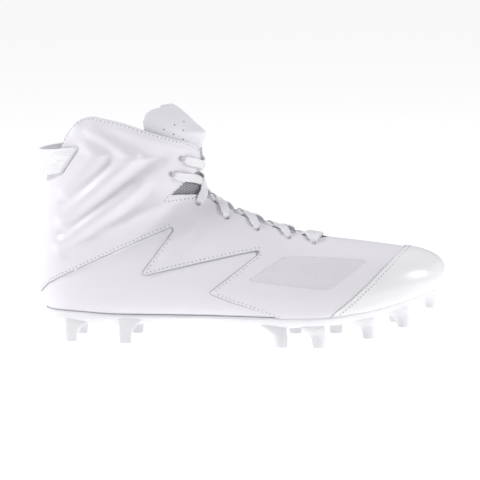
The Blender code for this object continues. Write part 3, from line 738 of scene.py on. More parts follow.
class Graph(Nodes):
    """The nodes of one material."""

    noise_detail = 3.0

    def __init__(self, name: str) -> None:
        """Start a material with its Principled shader.

        Args:
            name: The material's name.
        """
        self.material = bpy.data.materials.new(name)
        self.material.use_nodes = True
        super().__init__(self.material.node_tree)
        self.shader = self.tree.nodes["Principled BSDF"]
        self.place = self.node("ShaderNodeTexCoord").outputs["Object"]

    def mix(self, factor: Number, first: object, second: object) -> bpy.types.NodeSocket:
        """A mix of two colours."""
        made = self.node("ShaderNodeMix", {"data_type": "RGBA"}, {0: factor, 6: first, 7: second})
        return made.outputs[2]

    def noise(self, size: float) -> Value:
        """Soft noise.

        Args:
            size: How far its blotches reach, in metres.

        Returns:
            The noise, from 0 to 1.
        """
        made = self.node("ShaderNodeTexNoise", None,
                         {"Vector": self.place, "Scale": 1 / size, "Detail": self.noise_detail})
        return Value(self, made.outputs["Fac"])

    def cells(self, size: float) -> Value:
        """Distance to the middle of cells, for a pebbled grain.

        Args:
            size: How far a cell reaches, in metres.

        Returns:
            The distance, against a cell's size.
        """
        made = self.node("ShaderNodeTexVoronoi", {"feature": "SMOOTH_F1"},
                         {"Vector": self.place, "Scale": 1 / size})
        return Value(self, made.outputs["Distance"])

    def named(self, label: str) -> Value:
        """The numbers that a mesh keeps under a name."""
        return Value(self, self.node("ShaderNodeAttribute", {"attribute_name": label}).outputs["Fac"])

    def bump(self, height: Value, depth: float,
             under: Optional[bpy.types.NodeSocket] = None) -> bpy.types.NodeSocket:
        """A bump.

        Args:
            height: Its relief, from 0 to 1.
            depth: How far the relief reaches, in metres.
            under: Another bump that it lies over.

        Returns:
            The normal.
        """
        made = self.node("ShaderNodeBump", None, {"Height": height, "Distance": depth, "Strength": 1.0})
        if under is not None:
            self.feed(made.inputs["Normal"], under)
        return made.outputs["Normal"]

    def dress(self, **sockets: object) -> bpy.types.Material:
        """Feed the shader's own sockets.

        Args:
            **sockets: Values or links by socket name, with underscores for spaces.

        Returns:
            The finished material.
        """
        for label, value in sockets.items():
            self.feed(self.shader.inputs[label.replace("_", " ").title()], value)
        return self.material


def dimmed(colour: Colour, share: float) -> Colour:
    """A darker colour."""
    return tuple(share * c for c in colour[:3]) + (1.0,)


@dataclass(frozen=True)
class SkinFinish:
    """A coated synthetic skin: fine pebbled grain, satin gloss, and painted shade along the feet of seams,
    steps and slots.
    """

    name: str
    colour: Colour
    shaded: Colour
    roughness: float
    coat: float
    grain: float = 0.0011
    grain_depth: float = 0.00006
    seam_band: tuple[float, float] = (0.78, 0.98)
    seam_shade: float = 0.8
    seam_roughness: float = 0.3
    panel_band: tuple[float, float] = (0.52, 0.62)
    rib_pitch: float = 0.0016
    rib_depth: float = 0.00022
    cloud_size: float = 0.03
    cloud_band: tuple[float, float] = (0.35, 0.7)
    cloud_shade: float = 0.25
    gloss_size: float = 0.006
    gloss_change: float = 0.12
    coat_roughness: float = 0.18

    def material(self) -> bpy.types.Material:
        """Build the finish.

        Returns:
            The material.
        """
        graph = Graph(self.name)
        # The line number is closeness to a step's foot, the toe seam or a loop slot; it becomes a thin band
        # mixed to the shaded colour, which is painted shade.
        line = graph.named("line").between(*self.seam_band) * self.seam_shade
        cloud = graph.noise(self.cloud_size).between(*self.cloud_band)
        base = graph.mix(cloud * self.cloud_shade, self.colour, dimmed(self.colour, 0.96))
        colour = graph.mix(line, base, self.shaded)
        panel = graph.named("panel").between(*self.panel_band)
        x, _, z = graph.axes(graph.place)
        turn = FULL_TURN / self.rib_pitch
        ribs = (x * turn).wave() * (z * turn).wave()
        pebbles = graph.cells(self.grain) + graph.noise(self.grain * 0.4) * 0.5
        fine = graph.bump(pebbles, self.grain_depth)
        normal = graph.bump(ribs * panel, self.rib_depth, fine)
        # The panel is mixed towards a darker grey: its own grey tone, with painted shade in the ribs'
        # grooves, where the mix is strongest.
        colour = graph.mix(panel * (ribs * -0.5 + 0.8), colour, dimmed(self.colour, 0.9))
        rough = graph.noise(self.gloss_size) * self.gloss_change + (self.roughness - self.gloss_change / 2)
        return graph.dress(base_color=colour, roughness=rough + line * self.seam_roughness, normal=normal,
                           coat_weight=self.coat, coat_roughness=self.coat_roughness)


@dataclass(frozen=True)
class KnitFinish:
    """A fine knitted cloth, for the lining, the foot bed and the notch."""

    name: str
    colour: Colour
    shaded: Colour
    pitch: float
    depth: float
    roughness: float = 0.85
    sheen: float = 0.25
    fuzz: float = 0.0008

    def material(self) -> bpy.types.Material:
        """Build the finish.

        Returns:
            The material.
        """
        graph = Graph(self.name)
        x, y, z = graph.axes(graph.place)
        turn = FULL_TURN / self.pitch
        threads = ((x + y) * turn).wave() * ((z - y * 0.5) * turn).wave()
        colour = graph.mix(threads, self.shaded, self.colour)
        normal = graph.bump(threads, self.depth, graph.bump(graph.noise(self.fuzz), self.depth * 0.5))
        return graph.dress(base_color=colour, roughness=self.roughness, normal=normal,
                           sheen_weight=self.sheen)


@dataclass(frozen=True)
class LaceFinish:
    """Flat woven lace, with slanted threads that meet along its middle."""

    name: str
    colour: Colour
    shaded: Colour
    thread: float = 0.0009
    row: float = 0.0008
    slant: float = 1.1
    weave_depth: float = 0.00016
    fuzz: float = 0.0005
    fuzz_depth: float = 0.00004
    roughness: float = 0.78
    sheen: float = 0.2

    def material(self) -> bpy.types.Material:
        """Build the finish.

        Returns:
            The material.
        """
        graph = Graph(self.name)
        along, across = graph.named("along"), graph.named("across")
        threads = ((along + abs(across) * self.slant) * (FULL_TURN / self.thread)).wave()
        rows = (across * (FULL_TURN / self.row)).wave()
        weave = threads * 0.7 + rows * 0.3
        colour = graph.mix(weave, self.shaded, self.colour)
        normal = graph.bump(weave, self.weave_depth, graph.bump(graph.noise(self.fuzz), self.fuzz_depth))
        return graph.dress(base_color=colour, roughness=self.roughness, normal=normal,
                           sheen_weight=self.sheen)


@dataclass(frozen=True)
class MouldedFinish:
    """Moulded plastic with a faint texture."""

    name: str
    colour: Colour
    shaded: Colour
    roughness: float
    coat: float
    texture: float = 0.0007
    texture_depth: float = 0.00003
    cloud_size: float = 0.012
    cloud_band: tuple[float, float] = (0.3, 0.75)
    gloss_size: float = 0.003
    gloss_change: float = 0.1
    coat_roughness: float = 0.2

    def material(self) -> bpy.types.Material:
        """Build the finish.

        Returns:
            The material.
        """
        graph = Graph(self.name)
        cloud = graph.noise(self.cloud_size).between(*self.cloud_band)
        colour = graph.mix(cloud * 0.5, self.colour, self.shaded)
        rough = graph.noise(self.gloss_size) * self.gloss_change + (self.roughness - self.gloss_change / 2)
        normal = graph.bump(graph.noise(self.texture), self.texture_depth)
        return graph.dress(base_color=colour, roughness=rough, normal=normal,
                           coat_weight=self.coat, coat_roughness=self.coat_roughness)


@dataclass(frozen=True)
class Finishes:
    """Every finish of the shoe."""

    skin: SkinFinish = SkinFinish(
        "white_skin", (0.83, 0.815, 0.855, 1), (0.36, 0.35, 0.40, 1), 0.42, 0.22)
    toe: SkinFinish = SkinFinish(
        "toe_skin", (0.90, 0.89, 0.905, 1), (0.35, 0.34, 0.38, 1), 0.30, 0.45,
        grain=0.0009, grain_depth=0.00003)
    tongue: SkinFinish = SkinFinish(
        "tongue_skin", (0.84, 0.83, 0.87, 1), (0.22, 0.21, 0.25, 1), 0.5, 0.12)
    lining: KnitFinish = KnitFinish(
        "lining_knit", (0.80, 0.79, 0.83, 1), (0.66, 0.65, 0.70, 1), 0.0016, 0.00015)
    # The notch mesh's dark grey is partly its own tone and partly painted shade of the shadowed notch.
    mesh: KnitFinish = KnitFinish(
        "shaded_notch_knit", (0.66, 0.65, 0.69, 1), (0.26, 0.26, 0.28, 1), 0.0017, 0.0003)
    bed: KnitFinish = KnitFinish(
        "foot_bed", (0.74, 0.73, 0.78, 1), (0.58, 0.57, 0.62, 1), 0.0013, 0.0002)
    lace: LaceFinish = LaceFinish(
        "woven_lace", (0.96, 0.95, 0.97, 1), (0.88, 0.87, 0.90, 1))
    thread: MouldedFinish = MouldedFinish(
        "stitch_thread", (0.88, 0.87, 0.90, 1), (0.80, 0.79, 0.83, 1), 0.6, 0.0)
    plate: MouldedFinish = MouldedFinish(
        "moulded_plate", (0.84, 0.835, 0.86, 1), (0.80, 0.795, 0.82, 1), 0.36, 0.2)
    loop: MouldedFinish = MouldedFinish(
        "loop_strap", (0.88, 0.875, 0.90, 1), (0.83, 0.82, 0.85, 1), 0.45, 0.1)
    # Dark discs of painted shade for the insides of the tongue's air holes and the needle holes.
    dark: MouldedFinish = MouldedFinish(
        "painted_hole_shade", (0.16, 0.16, 0.18, 1), (0.10, 0.10, 0.11, 1), 0.9, 0.0)


@dataclass
class Part:
    """A sub-assembly that is built on the last form."""

    form: LastForm
    bench: Bench
    finishes: Finishes


@dataclass
class Upper(Part):
    """The lasted upper: outer skin with its step and folds, lining, and rolled edges."""

    wall: float = 0.0024
    throat_width: float = 0.017
    eyelet_radius: float = 0.002
    eyelet_spread: float = 0.030
    below_plate: float = 0.004
    step_depth: float = 0.0010
    step_run: float = 0.00035
    lip_height: float = 0.00022
    lip_width: float = 0.0008
    panel_depth: float = 0.00035
    bead_height: float = 0.0005
    bead_below: float = 0.0055
    bead_width: float = 0.003
    slot_depth: float = 0.0007
    slot_width: float = 0.0011
    fold_scale: float = 1.2
    fold_spread: float = 1.12
    line_reach: float = 0.003
    cell: float = 0.0014
    shaft_row: float = 17.0
    front_row: float = 1.4
    top_spare: float = 0.6
    least_step: float = 0.012
    lowest_turn: float = 0.90
    heel_turn: float = 0.10
    heel_start: float = 12.4
    heel_run: float = 1.6
    rim_bulge: float = 0.42
    sleeve_flare: float = 0.0006
    sleeve_proud: float = 0.00022
    sleeve_spare: float = 0.0004
    knit_rows: tuple[float, float] = (12.9, 16.7)
    knit_spare: float = 0.035
    knit_gap: float = 0.00035
    knit_dip: float = 0.0012

    def __post_init__(self) -> None:
        """Set out the side-view lines."""
        form = self.form
        self.zigzag = SideLine(self.zigzag_outline(), closed=True)
        self.panel = SideLine(form.side_points(PANEL_LINE), closed=True)
        self.collar = form.smooth_line(COLLAR_LINE, 6)
        self.slot = SideLine(form.side_points(SLOT_LINE))
        self.folds = [(height, half, SideLine(form.side_points(line))) for height, half, line in FOLDS]

    def zigzag_outline(self) -> Array:
        """The zigzag field.

        Returns:
            Its line, closed under the plate's edge.
        """
        line = self.form.side_points(ZIGZAG_LINE)
        x = np.linspace(line[-1, 0], line[0, 0], 40)
        low = np.stack((x, self.form.plate_edge(x) - self.below_plate), -1)
        return np.concatenate((line, low))

    def throat_half(self, rows: Array) -> Array:
        """Distance from the shoe's middle to the throat's edge at some rows."""
        return np.interp(rows, *zip(*THROAT_LINE)) * self.throat_width

    def throat_turn(self, rows: Array) -> Array:
        """The turn of the throat's edge at some rows, 0 where the vamp is closed."""
        return np.where(rows < THROAT_LINE[0][0], 0.0, self.form.turn_at(rows, self.throat_half(rows)))

    def stations(self, fineness: float) -> Array:
        """Rows up to the shaft, closer together where the form is long.

        Args:
            fineness: How close they lie, against the skin's own.

        Returns:
            The rows.
        """
        spans = ((1.5, 6.85, 13), (6.85, 13.4, 22), (13.4, self.shaft_row, 17))
        rows = [np.linspace(low, high, int((high - low) * per * fineness) + 2) for low, high, per in spans]
        corners = [row for row, _ in THROAT_LINE if row < self.shaft_row]
        merged = np.unique(np.round(np.concatenate(rows + [corners]), 4))
        keep = np.concatenate(([True], np.diff(merged) > self.least_step))
        return merged[keep]

    def over_collar(self, points: Array) -> Array:
        """Place against the collar's line, which slants down to the inner side.

        Args:
            points: Points of the form.

        Returns:
            How far each lies over the line.
        """
        along, shares = np.array(COLLAR_DROP_LINE).T
        drop = np.interp(points[..., 0], along * self.form.length, shares)
        slant = drop * (points[..., 1] + self.form.ankle_width / 2)
        return points[..., 2] - np.interp(points[..., 0], self.collar[:, 0], self.collar[:, 1]) + slant

    def grid(self, side: Side, fineness: float = 1.0, columns: int = 92,
             shaft_steps: int = 60) -> tuple[Array, Array]:
        """A grid over one side, from the toe to the collar's line.

        Args:
            side: The side.
            fineness: How close the foot's rows lie, against the skin's own.
            columns: Steps from the throat or top to the sole.
            shaft_steps: Steps from the shaft's first row to the collar.

        Returns:
            Rows and turns.
        """
        table_rows = np.linspace(self.front_row, LAST_ROW - self.top_spare, 900)
        lowest = self.lowest_turn + self.heel_turn * ease((table_rows - self.heel_start) / self.heel_run)
        spread = even_turns(self.form, table_rows, self.throat_turn(table_rows), lowest, columns)
        spread = spread * side.value
        over = self.over_collar(self.form.point(table_rows[:, None], spread))
        over[table_rows < self.shaft_row] = -1
        top = crossing(over, table_rows)
        shaft = self.shaft_row + (top - self.shaft_row) * np.linspace(0, 1, shaft_steps + 1)[1:, None]
        foot = np.repeat(self.stations(fineness)[:, None], columns + 1, axis=1)
        rows = np.concatenate((foot, shaft))
        turns = np.stack([np.interp(rows[:, k], table_rows, spread[:, k]) for k in range(columns + 1)], -1)
        return rows, turns

    def eyelet_turn(self, index: int, side: Side) -> float:
        """The turn at which an eyelet lies."""
        row, share = EYELETS[index]
        return side.value * self.form.turn_at(row, share * self.eyelet_spread)

    def eyelet(self, index: int, side: Side, grow: float = 0.0) -> Array:
        """Where an eyelet lies, moved out by grow."""
        return self.form.grown(EYELETS[index][0], self.eyelet_turn(index, side), grow)

    def relief(self, points: Array) -> tuple[Array, dict[str, Array]]:
        """The skin's relief over the form.

        Args:
            points: Points of the form.

        Returns:
            How far the skin stands out at each, and the numbers that its finish reads.
        """
        zigzag = self.zigzag.signed(points)
        height = -self.step_depth * np.clip(zigzag / self.step_run, 0, 1)
        height -= np.where(zigzag <= 0, self.lip_height * np.exp(-(zigzag / self.lip_width) ** 2), 0)
        for rise, half, line in self.folds:
            away = line.nearest(points)[0] / half / self.fold_spread
            height += self.fold_scale * rise * np.exp(-away ** 2)
        panel = self.panel.signed(points)
        height -= self.panel_depth * np.clip(panel / self.step_run, 0, 1)
        from_bead = (self.over_collar(points) + self.bead_below) / self.bead_width
        height += self.bead_height * np.exp(-from_bead ** 2)
        slot = self.slot.nearest(points)[0]
        height -= self.slot_depth * np.exp(-(slot / self.slot_width) ** 2)
        # The line number is closeness to the foot of the zigzag step and to the loop slots, where the skin's
        # finish paints a thin line of shade.
        reach = self.line_reach
        near = np.maximum(1 - np.abs(zigzag - self.step_run) / reach, 1 - slot / reach)
        return height, {"line": np.clip(near, 0, 1), "panel": np.clip(panel / reach + 0.5, 0, 1)}

    def side_skin(self, side: Side) -> Shape:
        """The outer skin of one side.

        Args:
            side: The side.

        Returns:
            Its shape, with eyelet holes, and with edges that follow the steps' lines.
        """
        rows, turns = self.grid(side)
        place, normal = self.form.point(rows, turns), self.form.normal(rows, turns)
        half = self.cell / 2
        for line in (self.zigzag, self.panel):
            place = slide(place, normal, line.signed, 0.0, -half, half)
            place = slide(place, normal, line.signed, self.step_run, half * 0.2, half * 2.6)
        holes = np.full(place.shape[:-1], 1.0)
        for index in range(len(EYELETS)):
            away = Ball(self.eyelet(index, side)).away
            place = slide(place, normal, away, self.eyelet_radius, self.eyelet_radius - half,
                          self.eyelet_radius + half)
            holes = np.minimum(holes, away(place))
        height, numbers = self.relief(place)
        shape = grid_shape(place + normal * height[..., None], side is Side.INNER, values=numbers)
        faces = cut_quads(shape.faces, height.ravel())
        inside = (holes.ravel() < self.eyelet_radius * 1.02)[faces].all(axis=1)
        return Shape(shape.points, faces[~inside], shape.values)

    def build_skin(self) -> None:
        """The outer skin of both sides."""
        self.skin = Shape.join([self.side_skin(side) for side in Side])
        self.bench.piece("upper_skin", self.skin, self.finishes.skin.material(), "upper", angle=48,
                         replaces=("upper",))

    def build_lining(self) -> None:
        """The lining, a wall's thickness inside the skin."""
        halves = []
        for side in Side:
            rows, turns = self.grid(side, fineness=0.4, columns=44, shaft_steps=24)
            halves.append(grid_shape(self.form.grown(rows, turns, -self.wall), side is Side.OUTER))
        self.bench.piece("upper_lining", Shape.join(halves), self.finishes.lining.material(), "upper")

    def edge(self, side: Side) -> tuple[Array, Array]:
        """The edge up the throat and along the collar to the heel.

        Args:
            side: The side.

        Returns:
            Its rows and turns.
        """
        rows, turns = self.grid(side)
        first = int(np.searchsorted(rows[:, 0], THROAT_LINE[0][0]))
        return (np.concatenate((rows[first:first + 1, 0], rows[first:, 0], rows[-1, 1:])),
                np.concatenate(([0.0], turns[first:, 0], turns[-1, 1:])))

    def build_rim(self) -> None:
        """The rolled edge that joins skin and lining round the throat and the collar."""
        edges = [self.edge(side) for side in Side]
        rows = np.concatenate((edges[0][0], edges[1][0][-2::-1]))
        turns = np.concatenate((edges[0][1], edges[1][1][-2::-1]))
        normal = self.form.normal(rows, turns)
        outer = self.form.point(rows, turns)
        outer = outer + normal * self.relief(outer)[0][:, None]
        inner = self.form.grown(rows, turns, -self.wall)
        middle, half = (outer + inner) / 2, (outer - inner) / 2
        away = unit(np.cross(normal, np.gradient(middle, axis=0)))
        angles = np.linspace(0, math.pi, 9)
        rings = (middle[:, None] + half[:, None] * np.cos(angles)[None, :, None]
                 + away[:, None] * (self.wall * self.rim_bulge * np.sin(angles))[None, :, None])
        self.bench.piece("upper_edge_roll", grid_shape(rings), self.finishes.skin.material(), "upper")

    def sleeve(self, index: int, side: Side) -> Shape:
        """The sleeve of one eyelet.

        Args:
            index: The eyelet.
            side: Its side.

        Returns:
            A tube through the wall, flared at both ends, whose faces look into the hole.
        """
        middle = self.eyelet(index, side)
        out = unit(self.eyelet(index, side, 0.001) - middle)
        across = unit(np.cross(out, (0.0, 0.3, 1.0)))
        up = np.cross(out, across)
        corners = round_corners(24)[None, :, None]
        level = np.linspace(0, 1, 12)[:, None, None]
        radius = self.eyelet_radius + self.sleeve_flare * np.abs(2 * level - 1) ** 4
        rings = middle + out * (self.sleeve_proud - (self.wall + self.sleeve_spare) * level) \
            + radius * (across * np.cos(corners) + up * np.sin(corners))
        return grid_shape(rings, True, closed=True)

    def build_eyelets(self) -> None:
        """A stitched sleeve through the wall at each eyelet."""
        sleeves = [self.sleeve(index, side) for side in Side for index in range(len(EYELETS))]
        self.bench.piece("eyelet_sleeves", Shape.join(sleeves), self.finishes.loop.material(), "upper")

    def build_notch_mesh(self) -> None:
        """A dark grey knitted mesh in the notch of the throat; its dark grey is partly its own tone and
        partly painted shade for the shadowed notch.
        """
        first, last = self.knit_rows
        rows = np.linspace(first, last, 60)
        reach = self.throat_turn(rows) + self.knit_spare
        turns = reach[:, None] * np.linspace(-1, 1, 61)
        ends = 1 - np.minimum(ease((rows - first) / 0.5), ease((last - rows) / 0.5))
        patch = self.form.grown(rows[:, None], turns,
                                -self.wall - self.knit_gap - self.knit_dip * ends[:, None])
        self.bench.piece("notch_mesh", grid_shape(patch), self.finishes.mesh.material(), "upper")

    def build(self) -> None:
        """Build the upper's pieces."""
        self.build_skin()
        self.build_lining()
        self.build_rim()
        self.build_eyelets()
        self.build_notch_mesh()


@dataclass(frozen=True)
class Ball:
    """A place to measure distances from."""

    middle: Array

    def away(self, points: Array) -> Array:
        """Distance from the middle."""
        return np.linalg.norm(points - self.middle, axis=-1)


@dataclass
class ToeCap(Part):
    """The smooth toe cap, which laps over the vamp at a slanted seam."""

    lap: float = 0.0013
    foot: float = -0.0002
    lap_run: float = 0.0008
    plate_run: float = 0.0012
    plate_start: float = -0.0004
    bead_height: float = 0.00018
    bead_place: float = 0.0050
    bead_width: float = 0.0007
    line_reach: float = 0.003
    band: float = 0.0028
    lowest_turn: float = 0.90
    tip_close: tuple[float, float] = (2.2, 1.1)
    columns: int = 150
    steps: int = 90

    def ahead(self, points: Array) -> Array:
        """How far points lie in front of the seam."""
        seam = self.form.side_points(SEAM_LINE)
        return points[..., 0] - np.interp(points[..., 2], seam[:, 1], seam[:, 0])

    def raised(self, share: Array) -> Array:
        """Growth over the form, from the foot at 0 to the full lap at 1."""
        return self.foot + (self.lap - self.foot) * share

    def build(self) -> None:
        """Build the cap, and keep the path of its stitches."""
        form = self.form
        row, run = self.tip_close
        table_rows = np.linspace(0, 8.5, 500)
        lowest = self.lowest_turn + (1 - self.lowest_turn) * ease((row - table_rows) / run)
        spread = even_turns(form, table_rows, -lowest, lowest, self.columns)
        behind = -self.ahead(form.point(table_rows[:, None], spread))
        seam_row = crossing(behind, table_rows)
        back = 1 - (1 - np.linspace(0, 1, self.steps)) ** 1.25
        rows = seam_row * back[:, None]
        turns = np.stack([np.interp(rows[:, k], table_rows, spread[:, k]) for k in range(len(seam_row))], -1)
        points = form.point(rows, turns)
        ahead = self.ahead(points)
        over_plate = points[..., 2] - form.plate_edge(points[..., 0])
        grow = self.raised(ease(ahead / self.lap_run) ** 0.6)
        grow = np.minimum(grow, self.raised(ease((over_plate - self.plate_start) / self.plate_run)))
        grow += self.bead_height * np.exp(-((ahead - self.bead_place) / self.bead_width) ** 2)
        # The line number is closeness to the seam, where the toe skin's finish paints a thin line of shade
        # at the cap's rolled foot.
        values = {"line": np.clip(1 - np.abs(ahead - 0.0001) / self.line_reach, 0, 1)}
        self.skin = grid_shape(form.grown(rows, turns, grow), values=values)
        band_row = crossing(self.band + behind, table_rows)
        band_turn = [np.interp(row, table_rows, spread[:, k]) for k, row in enumerate(band_row)]
        self.stitch_path = form.point(band_row, np.array(band_turn))
        self.bench.piece("toe_cap_skin", self.skin, self.finishes.toe.material(), "toe_cap",
                         replaces=("toe_cap",))


@dataclass(frozen=True)
class Zone:
    """A stretch of the plate, as shares of the shoe's length, whose ends fade out."""

    start: float
    stop: float
    start_run: float
    stop_run: float

    def share(self, along: Array) -> Array:
        """How fully places lie in it."""
        return ease((along - self.start) / self.start_run) * ease((self.stop - along) / self.stop_run)


@dataclass
class Sole(Part):
    """The moulded plate with its raised rim, ribs and studs."""

    wall: float = 0.0012
    floor: float = 0.0027
    wall_run: float = 0.0045
    rim_bulge: float = 0.0003
    columns: int = 60
    stud_tip: float = 0.0043
    stud_lean: float = 0.0054
    stud_depth: float = 0.92
    stud_climb: float = 0.0020
    stud_round: float = 0.0015
    stud_corners: int = 36
    flare_start: float = 0.25
    below: float = -0.05
    rib_height: float = 0.0007
    rib_run: float = 0.004
    arch: Zone = Zone(0.27, 0.56, 0.04, 0.04)
    fore: Zone = Zone(0.58, 0.93, 0.03, 0.05)
    heel: Zone = Zone(0.04, 0.29, 0.03, 0.03)
    spines: tuple[float, ...] = (-0.13, 0.0, 0.13)
    spine_width: float = 0.022
    waves: float = 26
    wave_sweep: float = 5
    ring_middle: float = 0.155
    ring_squash: float = 0.33
    rings: float = 190
    low_share: float = 0.6
    crest: float = 0.6
    clear_from: float = 0.36
    clear_run: float = 0.04

    def edge_turns(self, rows: Array) -> Array:
        """Where each section reaches the plate's upper edge.

        Args:
            rows: Section rows.

        Returns:
            The turn at each row.
        """
        turns = np.linspace(1.0, 0.45, 400)
        points = self.form.point(rows[None, :], turns[:, None])
        over = points[..., 2] - self.form.plate_edge(points[..., 0])
        return crossing(over, turns)

    def ribs(self, points: Array) -> Array:
        """Relief of the plate's underside: a spine at the arch, waves in front, rings at the heel.

        Args:
            points: Points of the plate.

        Returns:
            How far the ribs stand out.
        """
        along = points[..., 0] / self.form.length
        across = points[..., 1] / self.form.ball_width
        spine = sum(np.exp(-((across - middle) / self.spine_width) ** 2) for middle in self.spines)
        swept = along * self.waves + np.abs(across) * self.wave_sweep
        waves = np.clip(np.sin(swept * FULL_TURN), 0, 1) ** self.crest
        from_middle = np.hypot(along - self.ring_middle, across * self.ring_squash)
        rings = np.clip(np.sin(from_middle * self.rings), 0, 1) ** self.crest
        inner = ease((self.clear_from - np.abs(across)) / self.clear_run)
        arch, fore, heel = (zone.share(along) for zone in (self.arch, self.fore, self.heel))
        low = self.low_share
        return self.rib_height * (spine * arch + low * waves * fore * inner + low * rings * heel * inner)

    def end_row(self, start: float, stop: float) -> float:
        """Where the middle of the form's underside climbs to the plate's edge.

        Args:
            start: A row under the edge.
            stop: A row over it.

        Returns:
            The row.
        """
        rows = np.linspace(start, stop, 800)
        middle = self.form.point(rows, 1.0)
        over = middle[:, 2] - self.form.plate_edge(middle[:, 0])
        return float(crossing(over[:, None], rows)[0])

    def half_shell(self, side: Side, rows: Array, turns: Array) -> Shape:
        """One side of the plate.

        Args:
            side: The side.
            rows: Section rows.
            turns: Turns from the middle to the edge, for each row.

        Returns:
            Outer face, rolled rim and inner face.
        """
        form = self.form
        rows, turns = rows[:, None], turns * side.value
        place = form.point(rows, turns)
        level = form.plate_edge(place[..., 0]) - place[..., 2]
        grow = form.gap * 0.2 + (form.gap * 0.8 + self.wall) * ease(level / self.wall_run) ** 0.7
        outer = form.grown(rows, turns, grow, self.floor - self.wall)
        down = ease((form.plate_edge(outer[..., 0]) - outer[..., 2]) / self.rib_run)
        facing_down = np.clip(-form.normal(rows, turns)[..., 2], 0, 1)
        outer[..., 2] -= self.ribs(outer) * down * facing_down ** 4
        inner = form.grown(rows, turns[:, ::-1], -form.gap)
        middle = (outer[:, -1] + inner[:, 0]) / 2
        half = (outer[:, -1] - inner[:, 0]) / 2
        angles = np.linspace(0, math.pi, 8)[1:-1]
        roll = middle[:, None] + half[:, None] * np.cos(angles)[None, :, None]
        roll[..., 2] += self.rim_bulge * np.sin(angles)
        return grid_shape(np.concatenate((outer, roll, inner), axis=1), side is Side.OUTER)

    def build_plate(self) -> None:
        """The plate as one closed shell."""
        form = self.form
        toe, heel = self.end_row(2.0, 0.0), self.end_row(13.0, 17.0)
        front = toe + (2.0 - toe) * np.linspace(0, 1, 40) ** 1.5
        back = heel - (heel - 13.0) * np.linspace(1, 0, 70) ** 1.5
        rows = np.concatenate((front, np.linspace(2, 13, 180)[1:], back[1:]))
        edge = self.edge_turns(rows)
        edge[[0, -1]] = 1.0
        turns = even_turns(form, rows, 1.0, edge, self.columns, self.floor - self.wall)
        self.shell = Shape.join([self.half_shell(side, rows, turns) for side in Side])
        self.bench.piece("sole_plate", self.shell, self.finishes.plate.material(), "outsole",
                         angle=50, replaces=("outsole",))

    def stud_profile(self) -> tuple[Array, Array]:
        """A stud's rings from its worn tip up into the plate.

        Returns:
            The level of each ring, 1 at the plate, and its width against the tip's.
        """
        levels = np.concatenate(([0, 0, 0.012, 0.04, 0.08], np.linspace(0.12, 1.12, 26)))
        wide = np.interp(levels, *zip(*STUD_RINGS))
        for _ in range(3):
            wide[6:-1] = np.convolve(wide, (0.25, 0.5, 0.25), "same")[6:-1]
        wide[:3] = (0.0, 0.90, 0.955)
        return levels, wide

    def seen_from_below(self, under: BVHTree, x: float, y: float) -> Optional[Vector]:
        """The place on the plate straight over a place on the ground, if there is one."""
        return under.ray_cast(Vector((x, y, self.below)), Vector((0, 0, 1)))[0]

    def flat_reach(self, under: BVHTree, x: float, y: float, floor: float) -> float:
        """How far out the plate's underside stays flat.

        Args:
            under: The plate.
            x: A stud's place along the shoe.
            y: Its place across.
            floor: The underside's height there.

        Returns:
            The distance from the shoe's middle.
        """
        for out in np.linspace(abs(y), abs(y) + 0.02, 81):
            hit = self.seen_from_below(under, x, math.copysign(out, y))
            if hit is None or hit.z > floor + self.stud_climb:
                return float(out)
        return abs(y) + 0.02

    def stud(self, under: BVHTree, along: float, across: float, lift: float, lean: float,
             size: float) -> Shape:
        """One stud, whose flared foot follows the plate and stays within its flat.

        Args:
            under: The plate.
            along: Its tip's place, as a share of the shoe's length.
            across: Its tip's place, as a share of the ball's width.
            lift: Its tip's height, as a share of the toe's spring.
            lean: How far and which way its foot flares along the shoe.
            size: Its width against the others'.

        Returns:
            The stud.
        """
        form = self.form
        levels, wide = self.stud_profile()
        corners = round_corners(self.stud_corners)
        low = form.toe_spring * lift
        flared = np.maximum(0, np.minimum(levels, 1) - self.flare_start) / (1 - self.flare_start)
        radius = self.stud_tip * size * wide[:, None]
        middle_x = along * form.length + self.stud_lean * lean * flared ** 2
        middle_y = across * form.ball_width
        xs = middle_x[-1] + np.linspace(-1, 1, 9) * radius[-1, 0]
        found = [(x, self.seen_from_below(under, x, middle_y)) for x in xs]
        floor = np.polyfit([x for x, hit in found if hit], [hit.z for _, hit in found if hit], 2)
        height = float(np.polyval(floor, middle_x[-1]))
        limit = self.flat_reach(under, middle_x[-1], middle_y, height)
        x = middle_x[:, None] + radius * np.cos(corners)
        y = np.abs(middle_y) + radius * self.stud_depth * np.sin(corners)
        soft = self.stud_round
        over = np.maximum(y - limit + soft, 0)
        y = (y - over + soft * (1 - np.exp(-over / soft))) * math.copysign(1, middle_y)
        z = low + (np.polyval(floor, x) + self.rib_height - low) * levels[:, None]
        return grid_shape(np.stack((x, y, z), -1), middle_y >= 0, closed=True)

    def build_studs(self) -> None:
        """All the studs."""
        under = self.shell.surface()
        studs = [self.stud(under, *row) for row in STUDS]
        self.bench.piece("sole_studs", Shape.join(studs), self.finishes.plate.material(), "outsole")

    def build(self) -> None:
        """Build plate and studs."""
        self.build_plate()
        self.build_studs()


def dot(place: Array, normal: Array, radius: float) -> Shape:
    """A thin dark disc of painted shade that stands for the dark inside of a small hole.

    Args:
        place: Its middle.
        normal: Which way it looks.
        radius: Its radius.

    Returns:
        The disc.
    """
    across = unit(np.cross(normal, (0.31, 0.17, 0.93)))
    up = np.cross(normal, across)
    corners = round_corners(12)[None, :, None]
    wide = np.array((0.0, 1.0, 1.0, 0.0))[:, None, None] * radius
    high = np.array((-0.5, -0.4, 0.1, 0.2))[:, None, None] * radius
    rings = place + normal * high + wide * (across * np.cos(corners) + up * np.sin(corners))
    return grid_shape(rings, True, closed=True)


